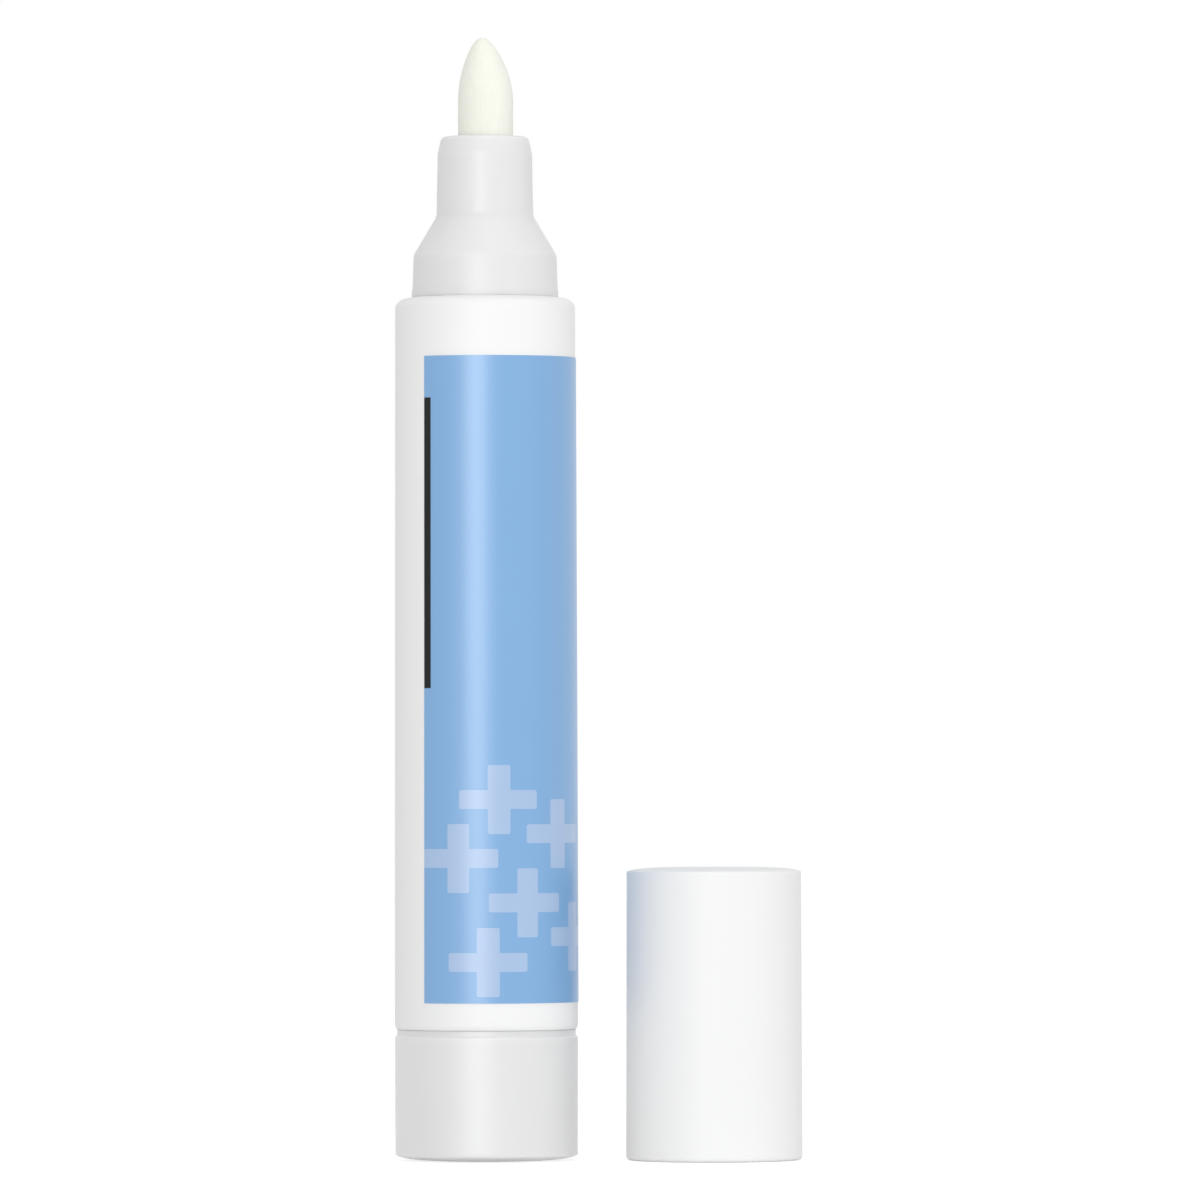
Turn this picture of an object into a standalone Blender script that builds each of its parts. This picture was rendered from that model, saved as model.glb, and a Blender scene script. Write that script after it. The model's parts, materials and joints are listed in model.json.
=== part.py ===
"""Nail care pen with a felt nib, a twist-dosing mechanism and a pull-off cap.

Sizes are in metres and +Z is up. The origin is the centre of the knob's flat end, on the pen's
axis. The front of the pen faces -Y. The cap stands beside the pen, CAP_DISTANCE towards +X.

Turning the knob turns the driver sleeve, which turns the spindle by its two flats. The spindle's
thread climbs through a nut fixed in the barrel, and its head pushes the piston towards the nib.
"""

import math

import bmesh
import bpy
from mathutils import Vector

COLLECTION_NAME = "nail_care_pen"
CUTTER_COLLECTION_NAME = "nail_care_pen_cutters"

# Facets of round shapes
OUTER_STEPS = 40
INNER_STEPS = 24
THREAD_STEPS = 12
RING_SECTION_STEPS = 6
FILLET_STEPS = 3
CROWN_STEPS = 5
SMOOTH_ANGLE_DEG = 35.0

# Clearances
SEAT_GAP = 0.0001
RUN_GAP = 0.00012
SEAL_GAP = 0.00005
THREAD_GAP = 0.0001
CUT_OVERRUN = 0.001
MERGE_DISTANCE = 0.0000001

# Barrel
BARREL_LENGTH = 0.0665
BARREL_WALL = 0.00118
BARREL_DRAFT = 0.00014
BARREL_TOP_FILLET = 0.00095
BARREL_FOOT_FILLET = 0.00045
BARREL_REAR_BORE_DEPTH = 0.0243
BARREL_REAR_BORE_STEP = 0.00015
BARREL_LEDGE_WIDTH = 0.00157
COLLAR_SEAT_WIDTH = 0.0004

# Label
LABEL_THICKNESS = 0.00006
LABEL_GAP = 0.00003
LABEL_TOP_MARGIN = 0.0055
LABEL_FOOT_MARGIN = 0.0025
LABEL_START_DEG = -42.5
LABEL_SPAN_DEG = 185.0

# Knob
KNOB_HEIGHT = 0.01135
KNOB_BARREL_GROOVE = 0.00055
KNOB_GROOVE_DEPTH = 0.0003
KNOB_DRAFT = 0.00003
KNOB_TOP_CHAMFER = 0.00015
KNOB_PAD_RADIUS = 0.0038
KNOB_CROWN_RISE = 0.0006
KNOB_FLOOR = 0.0024
KNOB_WALL = 0.0012
KNOB_HUB_WALL = 0.00125

# Nozzle
NOZZLE_COLLAR_HEIGHT = 0.00385
NOZZLE_COLLAR_DRAFT = 0.0001
NOZZLE_RIM_HEIGHT = 0.0007
NOZZLE_RIM_WIDTH = 0.00005
NOZZLE_CONE_HEIGHT = 0.00355
NOZZLE_CONE_FILLET = 0.0004
NOZZLE_NECK_HEIGHT = 0.00725
NOZZLE_NECK_WALL = 0.00167
NOZZLE_NECK_DRAFT = 0.00009
NOZZLE_LEAD_IN_HEIGHT = 0.0019
NOZZLE_LEAD_IN_WIDTH = 0.00035
NOZZLE_LIP_FILLET = 0.0005
NOZZLE_PLUG_LENGTH = 0.0077
NOZZLE_PLUG_CHAMFER = 0.0004
NOZZLE_SOCKET_RELIEF = 0.0005
NOZZLE_CAVITY_TAPER = 0.0028
NOZZLE_CAVITY_WALL = 0.0008

# Felt nib
NIB_RADIUS = 0.00253
NIB_REACH = 0.00905
NIB_SEAT_DEPTH = 0.0077
NIB_POINT_LENGTH = 0.00425
NIB_TIP_RADIUS = 0.00082
NIB_TIP_FILLET = 0.00075
NIB_SHOULDER_FILLET = 0.009
NIB_END_CHAMFER = 0.0003

# Feed plug
FEED_DISC_HEIGHT = 0.003
FEED_DISC_INSET = 0.0006
FEED_STEM_GRIP = 0.0023
FEED_CHANNEL_RADIUS = 0.0008

# Seal rings
NOZZLE_SEAL_CORD_RADIUS = 0.00045
PISTON_SEAL_CORD_RADIUS = 0.0005

# Piston
PISTON_LENGTH = 0.0092
PISTON_REST_GAP = 0.0006
PISTON_END_GAP = 0.0003
PISTON_EDGE_CHAMFER = 0.0005
PISTON_CROWN_THICKNESS = 0.0014
PISTON_WALL = 0.0009
PISTON_HUB_WALL = 0.00128
PISTON_HUB_INSET = 0.0002
PISTON_LIP_HEIGHT = 0.0009
PISTON_FRONT_SEAL_SHARE = 0.72
PISTON_REAR_SEAL_SHARE = 0.26

# Spindle
SPINDLE_RADIUS = 0.0023
SPINDLE_FLAT_DEPTH = 0.00065
SPINDLE_THREAD_DEPTH = 0.0004
SPINDLE_LEAD = 0.003
SPINDLE_THREAD_STARTS = 2
SPINDLE_CREST_SHARE = 0.36
SPINDLE_BASE_SHARE = 0.68
SPINDLE_NECK_DEPTH = 0.0008
SPINDLE_HEAD_INSET = 0.0001
SPINDLE_HEAD_HEIGHT = 0.0016
SPINDLE_HEAD_FILLET = 0.0004
SPINDLE_GRIP = 0.002
SPINDLE_TAIL_GAP = 0.0005

# Spindle nut
NUT_HEIGHT = 0.0061
NUT_WEB_THICKNESS = 0.002
NUT_HUB_WALL = 0.0015
NUT_SKIRT_WALL = 0.0011

# Driver sleeve
DRIVER_WALL = 0.0013
DRIVER_BORE_CLEARANCE = 0.0004
DRIVER_NUT_GAP = 0.0008
DRIVER_END_WALL = 0.004
DRIVER_FLANGE_WIDTH = 0.0012
DRIVER_FLANGE_THICKNESS = 0.0012
DRIVER_FOOT_SIDES = 6
DRIVER_FOOT_INSET = 0.0001
DRIVER_KEY_WIDTH = 0.001
DRIVER_KEY_HEIGHT = 0.00035
DRIVER_KEYS = 2

# Ratchet sleeve
RATCHET_INSET = 0.0002
RATCHET_WALL = 0.0008
RATCHET_LIP_THICKNESS = 0.0012
RATCHET_TOOTH_DEPTH = 0.0005
RATCHET_TOOTH_ZONE = 0.0048
RATCHET_TEETH = 12
RATCHET_RAMP_SHARE = 0.88

# Pawl ring
PAWL_HEIGHT = 0.004
PAWL_HUB_WALL = 0.00065
PAWL_ARMS = 2
PAWL_ARM_THICKNESS = 0.0004
PAWL_ARM_GAP = 0.00035
PAWL_ARM_SPAN_DEG = 95.0
PAWL_NOSE_HEIGHT = 0.00013
PAWL_NOSE_SPAN_DEG = 7.0
PAWL_ROOT_SPAN_DEG = 16.0

# Cap
CAP_CLEARANCE = 0.00015
CAP_WALL = 0.00125
CAP_DRAFT = 0.00009
CAP_END_WALL = 0.00125
CAP_TIP_CLEARANCE = 0.0006
CAP_CROWN_RISE = 0.00045
CAP_PAD_RADIUS = 0.0036
CAP_RIM_FILLET = 0.0004
CAP_DISTANCE = 0.02069
LINER_WALL = 0.00145
LINER_NECK_CLEARANCE = 0.0001
LINER_CONE_GAP = 0.0008
LINER_NECK_GAP = 0.0005
LINER_NIB_CLEARANCE = 0.0008
LINER_END_WALL = 0.00095
LINER_LEAD_IN = 0.0004

# Heights up the pen, worked out from the sizes above
BARREL_FOOT = KNOB_HEIGHT + KNOB_BARREL_GROOVE
BARREL_TOP = BARREL_FOOT + BARREL_LENGTH
COLLAR_TOP = BARREL_TOP + NOZZLE_COLLAR_HEIGHT
CONE_TOP = COLLAR_TOP + NOZZLE_CONE_HEIGHT
NECK_TOP = CONE_TOP + NOZZLE_NECK_HEIGHT
NIB_TIP = NECK_TOP + NIB_REACH
NIB_END = NECK_TOP - NIB_SEAT_DEPTH
NOZZLE_BORE_END = NIB_END - FEED_STEM_GRIP
NOZZLE_PLUG_END = BARREL_TOP - NOZZLE_PLUG_LENGTH
RESERVOIR_FRONT = NOZZLE_PLUG_END - NOZZLE_SOCKET_RELIEF
REAR_BORE_TOP = BARREL_FOOT + BARREL_REAR_BORE_DEPTH
NUT_TOP = REAR_BORE_TOP - SEAT_GAP
NUT_FOOT = NUT_TOP - NUT_HEIGHT
RATCHET_FOOT = BARREL_FOOT + RATCHET_INSET
RATCHET_TOP = NUT_FOOT - SEAT_GAP
RATCHET_LIP_TOP = RATCHET_FOOT + RATCHET_LIP_THICKNESS
RATCHET_TEETH_TOP = RATCHET_LIP_TOP + RATCHET_TOOTH_ZONE
PAWL_FOOT = RATCHET_LIP_TOP + RUN_GAP
PAWL_TOP = PAWL_FOOT + PAWL_HEIGHT
DRIVER_FOOT = KNOB_FLOOR + SEAT_GAP
DRIVER_TOP = NUT_FOOT - DRIVER_NUT_GAP
DRIVER_FLANGE_FOOT = PAWL_TOP + SEAT_GAP
PISTON_FOOT = NUT_TOP + PISTON_REST_GAP
PISTON_TOP = PISTON_FOOT + PISTON_LENGTH

# The stroke ends at the front of the reservoir, or where the spindle would leave the driver
RESERVOIR_TRAVEL = RESERVOIR_FRONT - PISTON_END_GAP - PISTON_TOP
SPINDLE_TRAVEL = DRIVER_TOP - SPINDLE_GRIP - DRIVER_FOOT - SPINDLE_TAIL_GAP
STROKE = min(RESERVOIR_TRAVEL, SPINDLE_TRAVEL)
SPINDLE_FOOT = DRIVER_TOP - SPINDLE_GRIP - STROKE

# Radii of the mechanism, from the spindle out to the barrel
SPINDLE_HALF_FLAT = SPINDLE_RADIUS - SPINDLE_FLAT_DEPTH
SPINDLE_NECK_RADIUS = SPINDLE_RADIUS - SPINDLE_NECK_DEPTH
SPINDLE_HEAD_RADIUS = SPINDLE_RADIUS - SPINDLE_HEAD_INSET
PISTON_HUB_RADIUS = SPINDLE_HEAD_RADIUS + RUN_GAP + PISTON_HUB_WALL
NUT_HUB_RADIUS = SPINDLE_RADIUS + THREAD_GAP + NUT_HUB_WALL
DRIVER_BORE_RADIUS = SPINDLE_RADIUS + DRIVER_BORE_CLEARANCE
DRIVER_RADIUS = DRIVER_BORE_RADIUS + DRIVER_WALL
PAWL_BORE_RADIUS = DRIVER_RADIUS + SEAT_GAP
PAWL_HUB_RADIUS = PAWL_BORE_RADIUS + PAWL_HUB_WALL
PAWL_ARM_INNER_RADIUS = PAWL_HUB_RADIUS + PAWL_ARM_GAP
PAWL_ARM_RADIUS = PAWL_ARM_INNER_RADIUS + PAWL_ARM_THICKNESS
PAWL_NOSE_RADIUS = PAWL_ARM_RADIUS + PAWL_NOSE_HEIGHT
RATCHET_TIP_RADIUS = PAWL_NOSE_RADIUS + RUN_GAP
RATCHET_ROOT_RADIUS = RATCHET_TIP_RADIUS + RATCHET_TOOTH_DEPTH
PRESSED_RADIUS = RATCHET_ROOT_RADIUS + RATCHET_WALL
REAR_BORE_RADIUS = PRESSED_RADIUS + SEAT_GAP
RESERVOIR_RADIUS = REAR_BORE_RADIUS - BARREL_REAR_BORE_STEP
BARREL_TOP_RADIUS = RESERVOIR_RADIUS + BARREL_WALL
BARREL_FOOT_RADIUS = BARREL_TOP_RADIUS + BARREL_DRAFT

# Radii of the nozzle and the cap
COLLAR_RADIUS = BARREL_TOP_RADIUS - BARREL_LEDGE_WIDTH
SOCKET_RADIUS = COLLAR_RADIUS - COLLAR_SEAT_WIDTH
NOZZLE_PLUG_RADIUS = SOCKET_RADIUS - SEAT_GAP
NOZZLE_BORE_RADIUS = NIB_RADIUS + SEAT_GAP
NOZZLE_NECK_RADIUS = NOZZLE_BORE_RADIUS + NOZZLE_NECK_WALL
CAP_BORE_RADIUS = COLLAR_RADIUS + CAP_CLEARANCE
CAP_FOOT_RADIUS = CAP_BORE_RADIUS + CAP_WALL
LINER_NECK_RADIUS = NOZZLE_NECK_RADIUS + NOZZLE_NECK_DRAFT + LINER_NECK_CLEARANCE
LINER_RADIUS = LINER_NECK_RADIUS + LINER_WALL

# Heights up the cap, from its mouth. Closed, the mouth stands on the barrel's ledge
LINER_FOOT = NOZZLE_COLLAR_HEIGHT + NOZZLE_CONE_HEIGHT + LINER_CONE_GAP
LINER_NECK_TOP = NECK_TOP - BARREL_TOP + LINER_NECK_GAP
LINER_NIB_TOP = NIB_TIP - BARREL_TOP + CAP_TIP_CLEARANCE
LINER_TOP = LINER_NIB_TOP + LINER_END_WALL
CAP_BORE_TOP = LINER_TOP + SEAT_GAP
CAP_HEIGHT = CAP_BORE_TOP + CAP_END_WALL

# A fillet stops at this share of the shorter side beside it, and a small one is a plain bevel
FILLET_LIMIT_SHARE = 0.48
SMALL_FILLET = 0.0003


def clear_scene():
    """Removes every object that the file opened with."""
    for existing in list(bpy.data.objects):
        bpy.data.objects.remove(existing, do_unlink=True)


def add_collection(name):
    """Adds a collection to the scene and returns it."""
    collection = bpy.data.collections.new(name)
    bpy.context.scene.collection.children.link(collection)
    return collection


def plastic(name, colour, roughness):
    """Returns a Principled material for a moulded or fibrous part."""
    material = bpy.data.materials.new(name)
    material.use_nodes = True
    shader = material.node_tree.nodes["Principled BSDF"]
    shader.inputs["Base Color"].default_value = (*colour, 1.0)
    shader.inputs["Roughness"].default_value = roughness
    shader.inputs["Metallic"].default_value = 0.0
    material.diffuse_color = (*colour, 1.0)
    return material


def add_object(name, data):
    """Adds an object to the pen's collection."""
    piece = bpy.data.objects.new(name, data)
    bpy.data.collections[COLLECTION_NAME].objects.link(piece)
    return piece


def add_axis(name, location, parent=None):
    """Adds an empty on a joint's axis."""
    axis = add_object(name, None)
    axis.location = location
    axis.parent = parent
    return axis


def rounded(corners, closed=False):
    """Returns the outline through (radius, height, fillet) corners, with its fillets as arcs."""
    outline = []
    last = len(corners) - 1
    for index, (radius, height, fillet) in enumerate(corners):
        corner = Vector((radius, height))
        if fillet <= 0 or (not closed and index in (0, last)):
            outline.append(corner)
            continue
        before = Vector(corners[index - 1][:2]) - corner
        after = Vector(corners[(index + 1) % len(corners)][:2]) - corner
        half_angle = before.angle(after) / 2
        reach = min(
            fillet / math.tan(half_angle),
            FILLET_LIMIT_SHARE * min(before.length, after.length),
        )
        bend = reach * math.tan(half_angle)
        middle = before.normalized() + after.normalized()
        centre = corner + middle.normalized() * bend / math.sin(half_angle)
        first = corner + before.normalized() * reach - centre
        turn = first.angle_signed(corner + after.normalized() * reach - centre)
        steps = FILLET_STEPS if fillet > SMALL_FILLET else 1
        for step in range(steps + 1):
            angle = -turn * step / steps
            swung = Vector(
                (
                    first.x * math.cos(angle) - first.y * math.sin(angle),
                    first.x * math.sin(angle) + first.y * math.cos(angle),
                )
            )
            outline.append(centre + swung)
    return outline


def crown(pad_radius, edge_radius, rise):
    """Returns (radius, drop) along a quarter ellipse, from a flat pad out to an upright edge."""
    points = []
    for step in range(CROWN_STEPS + 1):
        angle = math.pi / 2 * step / CROWN_STEPS
        radius = pad_radius + (edge_radius - pad_radius) * math.sin(angle)
        points.append((radius, rise * (1 - math.cos(angle))))
    return points


def ring_outline(radius, height, cord_radius):
    """Returns the round section of a seal ring, outer side first and downwards."""
    points = []
    for step in range(RING_SECTION_STEPS):
        angle = math.pi / 2 - 2 * math.pi * (step + 0.5) / RING_SECTION_STEPS
        points.append(
            Vector((radius + cord_radius * math.cos(angle), height + cord_radius * math.sin(angle)))
        )
    return points


def turned(name, outline, steps, closed=False):
    """Adds a turned piece. Its outline runs down the outer side, from top to bottom."""
    mesh = bpy.data.meshes.new(name)
    links = [(index, index + 1) for index in range(len(outline) - 1)]
    if closed:
        links.append((len(outline) - 1, 0))
    mesh.from_pydata([(radius, 0.0, height) for radius, height in outline], links, [])
    piece = add_object(name, mesh)
    screw = piece.modifiers.new("Turn", "SCREW")
    screw.steps = steps
    screw.render_steps = steps
    screw.use_merge_vertices = True
    screw.merge_threshold = MERGE_DISTANCE
    return piece


def curved_plate(name, low, high, thickness, start_deg, span_deg):
    """Adds a plate bent round the axis, between two (radius, height) edges of its inner face."""
    mesh = bpy.data.meshes.new(name)
    start = math.radians(start_deg)
    points = [
        (radius * math.cos(start), radius * math.sin(start), height)
        for radius, height in (high, low)
    ]
    mesh.from_pydata(points, [(0, 1)], [])
    plate = add_object(name, mesh)
    screw = plate.modifiers.new("Bend", "SCREW")
    screw.angle = math.radians(span_deg)
    screw.steps = math.ceil(span_deg / 360 * OUTER_STEPS)
    screw.render_steps = screw.steps
    screw.use_merge_vertices = False
    shell = plate.modifiers.new("Thicken", "SOLIDIFY")
    shell.thickness = thickness
    shell.offset = 1.0
    shell.use_even_offset = True
    return plate


def evaluated_shape(piece):
    """Returns a bmesh of the piece with its modifiers applied and its seams closed."""
    bpy.context.view_layer.update()
    graph = bpy.context.evaluated_depsgraph_get()
    mesh = bpy.data.meshes.new_from_object(piece.evaluated_get(graph))
    shape = bmesh.new()
    shape.from_mesh(mesh)
    bpy.data.meshes.remove(mesh)
    bmesh.ops.remove_doubles(shape, verts=shape.verts, dist=MERGE_DISTANCE)
    return shape


def replace_guide(guide, name, shape):
    """Puts the bmesh in a new object with this name and removes the guide that it came from."""
    bmesh.ops.recalc_face_normals(shape, faces=shape.faces)
    mesh = bpy.data.meshes.new(name)
    shape.to_mesh(mesh)
    shape.free()
    bpy.data.objects.remove(guide, do_unlink=True)
    return add_object(name, mesh)


def prism(name, outline, foot, top):
    """Adds a straight prism over a flat outline of (x, y) points."""
    curve = bpy.data.curves.new(name, "CURVE")
    curve.dimensions = "2D"
    curve.fill_mode = "BOTH"
    curve.extrude = (top - foot) / 2
    spline = curve.splines.new("POLY")
    spline.points.add(len(outline) - 1)
    for point, (x, y) in zip(spline.points, outline):
        point.co = (x, y, 0.0, 1.0)
    spline.use_cyclic_u = True
    guide = add_object(name + "_outline", curve)
    shape = evaluated_shape(guide)
    bmesh.ops.translate(shape, verts=shape.verts, vec=(0, 0, (foot + top) / 2))
    return replace_guide(guide, name, shape)


def polar(radius, angle_deg):
    """Returns the (x, y) of a point at a radius and an angle from +X."""
    angle = math.radians(angle_deg)
    return (radius * math.cos(angle), radius * math.sin(angle))


def polygon(radius, sides):
    """Returns the corners of a regular outline."""
    return [polar(radius, 360 * side / sides) for side in range(sides)]


def double_flat(radius, half_flat, steps):
    """Returns a circle's outline with a flat on its front and one on its back."""
    edge = math.degrees(math.asin(half_flat / radius))
    outline = []
    for middle_deg in (0, 180):
        for step in range(steps + 1):
            outline.append(polar(radius, middle_deg - edge + 2 * edge * step / steps))
    return outline


def combine(piece, operation, tool):
    """Cuts the tool from the piece, or joins it to the piece, and puts the tool aside."""
    boolean = piece.modifiers.new(tool.name, "BOOLEAN")
    boolean.operation = operation
    boolean.object = tool
    tool.hide_render = True
    tool.display_type = "WIRE"
    bpy.data.collections[COLLECTION_NAME].objects.unlink(tool)
    bpy.data.collections[CUTTER_COLLECTION_NAME].objects.link(tool)


def finish(piece, material, parent=None):
    """Applies the modifiers, dresses the piece and hangs it on its joint's axis."""
    graph = bpy.context.evaluated_depsgraph_get()
    mesh = bpy.data.meshes.new_from_object(piece.evaluated_get(graph))
    piece.modifiers.clear()
    piece.data = mesh
    mesh.name = piece.name
    mesh.shade_smooth()
    mesh.set_sharp_from_angle(angle=math.radians(SMOOTH_ANGLE_DEG))
    mesh.materials.clear()
    mesh.materials.append(material)
    piece.parent = parent
    return piece


def barrel_radius(height):
    """Returns the barrel's outer radius at a height, between its foot and its top."""
    share = (height - BARREL_FOOT) / BARREL_LENGTH
    return BARREL_FOOT_RADIUS + (BARREL_TOP_RADIUS - BARREL_FOOT_RADIUS) * share


def build_barrel(material):
    """The tube: a ledge and a socket for the nozzle, the reservoir, and a wider bore behind it."""
    corners = [
        (SOCKET_RADIUS, BARREL_TOP, 0),
        (BARREL_TOP_RADIUS, BARREL_TOP, BARREL_TOP_FILLET),
        (BARREL_FOOT_RADIUS, BARREL_FOOT, BARREL_FOOT_FILLET),
        (REAR_BORE_RADIUS, BARREL_FOOT, 0),
        (REAR_BORE_RADIUS, REAR_BORE_TOP, 0),
        (RESERVOIR_RADIUS, REAR_BORE_TOP, 0),
        (RESERVOIR_RADIUS, RESERVOIR_FRONT, 0),
        (SOCKET_RADIUS, RESERVOIR_FRONT, 0),
    ]
    barrel = turned("barrel", rounded(corners, closed=True), OUTER_STEPS, closed=True)
    finish(barrel, material)


def build_label(material):
    """The film round the barrel, from left of the front to behind the right side."""
    foot = BARREL_FOOT + LABEL_FOOT_MARGIN
    top = BARREL_TOP - LABEL_TOP_MARGIN
    label = curved_plate(
        "label",
        (barrel_radius(foot) + LABEL_GAP, foot),
        (barrel_radius(top) + LABEL_GAP, top),
        LABEL_THICKNESS,
        LABEL_START_DEG - 90,
        LABEL_SPAN_DEG,
    )
    finish(label, material)


def build_knob(material, axis):
    """The end piece: a crowned foot, a hub with a six-sided socket, and a land under the barrel."""
    foot_radius = BARREL_FOOT_RADIUS - KNOB_DRAFT
    land_radius = BARREL_FOOT_RADIUS - KNOB_GROOVE_DEPTH
    inner_radius = BARREL_FOOT_RADIUS - KNOB_WALL
    hub_radius = DRIVER_RADIUS + SEAT_GAP + KNOB_HUB_WALL
    hub_top = RATCHET_FOOT - RUN_GAP
    land_top = BARREL_FOOT - RUN_GAP
    outline = rounded(
        [
            (0, hub_top, 0),
            (hub_radius, hub_top, KNOB_TOP_CHAMFER),
            (hub_radius, KNOB_FLOOR, 0),
            (inner_radius, KNOB_FLOOR, 0),
            (inner_radius, land_top, 0),
            (land_radius, land_top, 0),
            (land_radius, KNOB_HEIGHT, 0),
            (BARREL_FOOT_RADIUS, KNOB_HEIGHT, KNOB_TOP_CHAMFER),
            (foot_radius, KNOB_CROWN_RISE, 0),
        ]
    )
    foot = crown(KNOB_PAD_RADIUS, foot_radius, KNOB_CROWN_RISE)
    outline += [Vector(point) for point in reversed(foot[:-1])]
    outline.append(Vector((0, 0)))
    knob = turned("knob", outline, OUTER_STEPS)
    socket = polygon(DRIVER_RADIUS - DRIVER_FOOT_INSET + SEAT_GAP, DRIVER_FOOT_SIDES)
    combine(knob, "DIFFERENCE", prism("knob_socket", socket, KNOB_FLOOR, hub_top + CUT_OVERRUN))
    finish(knob, material, axis)


def build_driver_sleeve(material, axis):
    """The tube that the knob turns: six-sided foot, journal, keys, flange and a hole with flats."""
    flange_radius = DRIVER_RADIUS + DRIVER_FLANGE_WIDTH
    flange_top = DRIVER_FLANGE_FOOT + DRIVER_FLANGE_THICKNESS
    journal_foot = RATCHET_FOOT - RUN_GAP
    corners = [
        (0, DRIVER_TOP, 0),
        (DRIVER_RADIUS, DRIVER_TOP, 0),
        (DRIVER_RADIUS, flange_top, 0),
        (flange_radius, flange_top, 0),
        (flange_radius, DRIVER_FLANGE_FOOT, 0),
        (DRIVER_RADIUS, DRIVER_FLANGE_FOOT, 0),
        (DRIVER_RADIUS, journal_foot, 0),
        (0, journal_foot, 0),
    ]
    driver = turned("driver_sleeve", rounded(corners), INNER_STEPS)
    foot_outline = polygon(DRIVER_RADIUS - DRIVER_FOOT_INSET, DRIVER_FOOT_SIDES)
    foot = prism("driver_foot", foot_outline, DRIVER_FOOT, journal_foot + RUN_GAP)
    combine(driver, "UNION", foot)
    for key in range(DRIVER_KEYS):
        combine(driver, "UNION", driver_key(f"driver_key_{key + 1}", key, 0))
    bore = turned(
        "driver_bore",
        rounded(
            [
                (0, DRIVER_TOP - DRIVER_END_WALL, 0),
                (DRIVER_BORE_RADIUS, DRIVER_TOP - DRIVER_END_WALL, 0),
                (DRIVER_BORE_RADIUS, DRIVER_FOOT - CUT_OVERRUN, 0),
                (0, DRIVER_FOOT - CUT_OVERRUN, 0),
            ]
        ),
        INNER_STEPS,
    )
    combine(driver, "DIFFERENCE", bore)
    hole_outline = double_flat(
        SPINDLE_RADIUS + THREAD_GAP, SPINDLE_HALF_FLAT + THREAD_GAP, THREAD_STEPS // 2
    )
    hole_foot = DRIVER_TOP - DRIVER_END_WALL - CUT_OVERRUN
    hole = prism("driver_hole", hole_outline, hole_foot, DRIVER_TOP + CUT_OVERRUN)
    combine(driver, "DIFFERENCE", hole)
    finish(driver, material, axis)


def driver_key(name, number, gap):
    """Adds one key of the driver sleeve, or with a gap the slot that takes it."""
    half_width = DRIVER_KEY_WIDTH / 2 + gap
    inner = DRIVER_RADIUS - DRIVER_KEY_HEIGHT
    outer = DRIVER_RADIUS + DRIVER_KEY_HEIGHT + gap
    turn = 2 * math.pi * number / DRIVER_KEYS
    outline = []
    for along, across in (
        (inner, -half_width),
        (outer, -half_width),
        (outer, half_width),
        (inner, half_width),
    ):
        outline.append(
            (
                along * math.cos(turn) - across * math.sin(turn),
                along * math.sin(turn) + across * math.cos(turn),
            )
        )
    overrun = CUT_OVERRUN if gap else 0
    return prism(name, outline, PAWL_FOOT - overrun, PAWL_TOP + overrun)


def build_pawl_ring(material, axis):
    """The click spring: a hub keyed to the driver, with sprung arms that end in noses."""
    arm_middle = (PAWL_ARM_INNER_RADIUS + PAWL_ARM_RADIUS) / 2
    root_radius = (PAWL_BORE_RADIUS + PAWL_HUB_RADIUS) / 2
    corners = [
        (PAWL_BORE_RADIUS, PAWL_TOP, 0),
        (PAWL_HUB_RADIUS, PAWL_TOP, 0),
        (PAWL_HUB_RADIUS, PAWL_FOOT, 0),
        (PAWL_BORE_RADIUS, PAWL_FOOT, 0),
    ]
    ring = turned("pawl_ring", rounded(corners, closed=True), INNER_STEPS, closed=True)
    for arm in range(PAWL_ARMS):
        nose_deg = 90 + 360 * arm / PAWL_ARMS
        root_deg = nose_deg + PAWL_ARM_SPAN_DEG
        blade = curved_plate(
            f"pawl_arm_{arm + 1}",
            (PAWL_ARM_INNER_RADIUS, PAWL_FOOT),
            (PAWL_ARM_INNER_RADIUS, PAWL_TOP),
            PAWL_ARM_THICKNESS,
            nose_deg,
            PAWL_ARM_SPAN_DEG,
        )
        root = curved_plate(
            f"pawl_root_{arm + 1}",
            (root_radius, PAWL_FOOT),
            (root_radius, PAWL_TOP),
            arm_middle - root_radius,
            root_deg - PAWL_ROOT_SPAN_DEG,
            PAWL_ROOT_SPAN_DEG,
        )
        nose_outline = [
            polar(PAWL_NOSE_RADIUS, nose_deg),
            polar(arm_middle, nose_deg + PAWL_NOSE_SPAN_DEG),
            polar(arm_middle, nose_deg),
        ]
        nose = prism(f"pawl_nose_{arm + 1}", nose_outline, PAWL_FOOT, PAWL_TOP)
        for tool in (blade, root, nose):
            combine(ring, "UNION", tool)
    for key in range(DRIVER_KEYS):
        combine(ring, "DIFFERENCE", driver_key(f"pawl_slot_{key + 1}", key, SEAT_GAP))
    finish(ring, material, axis)


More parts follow.
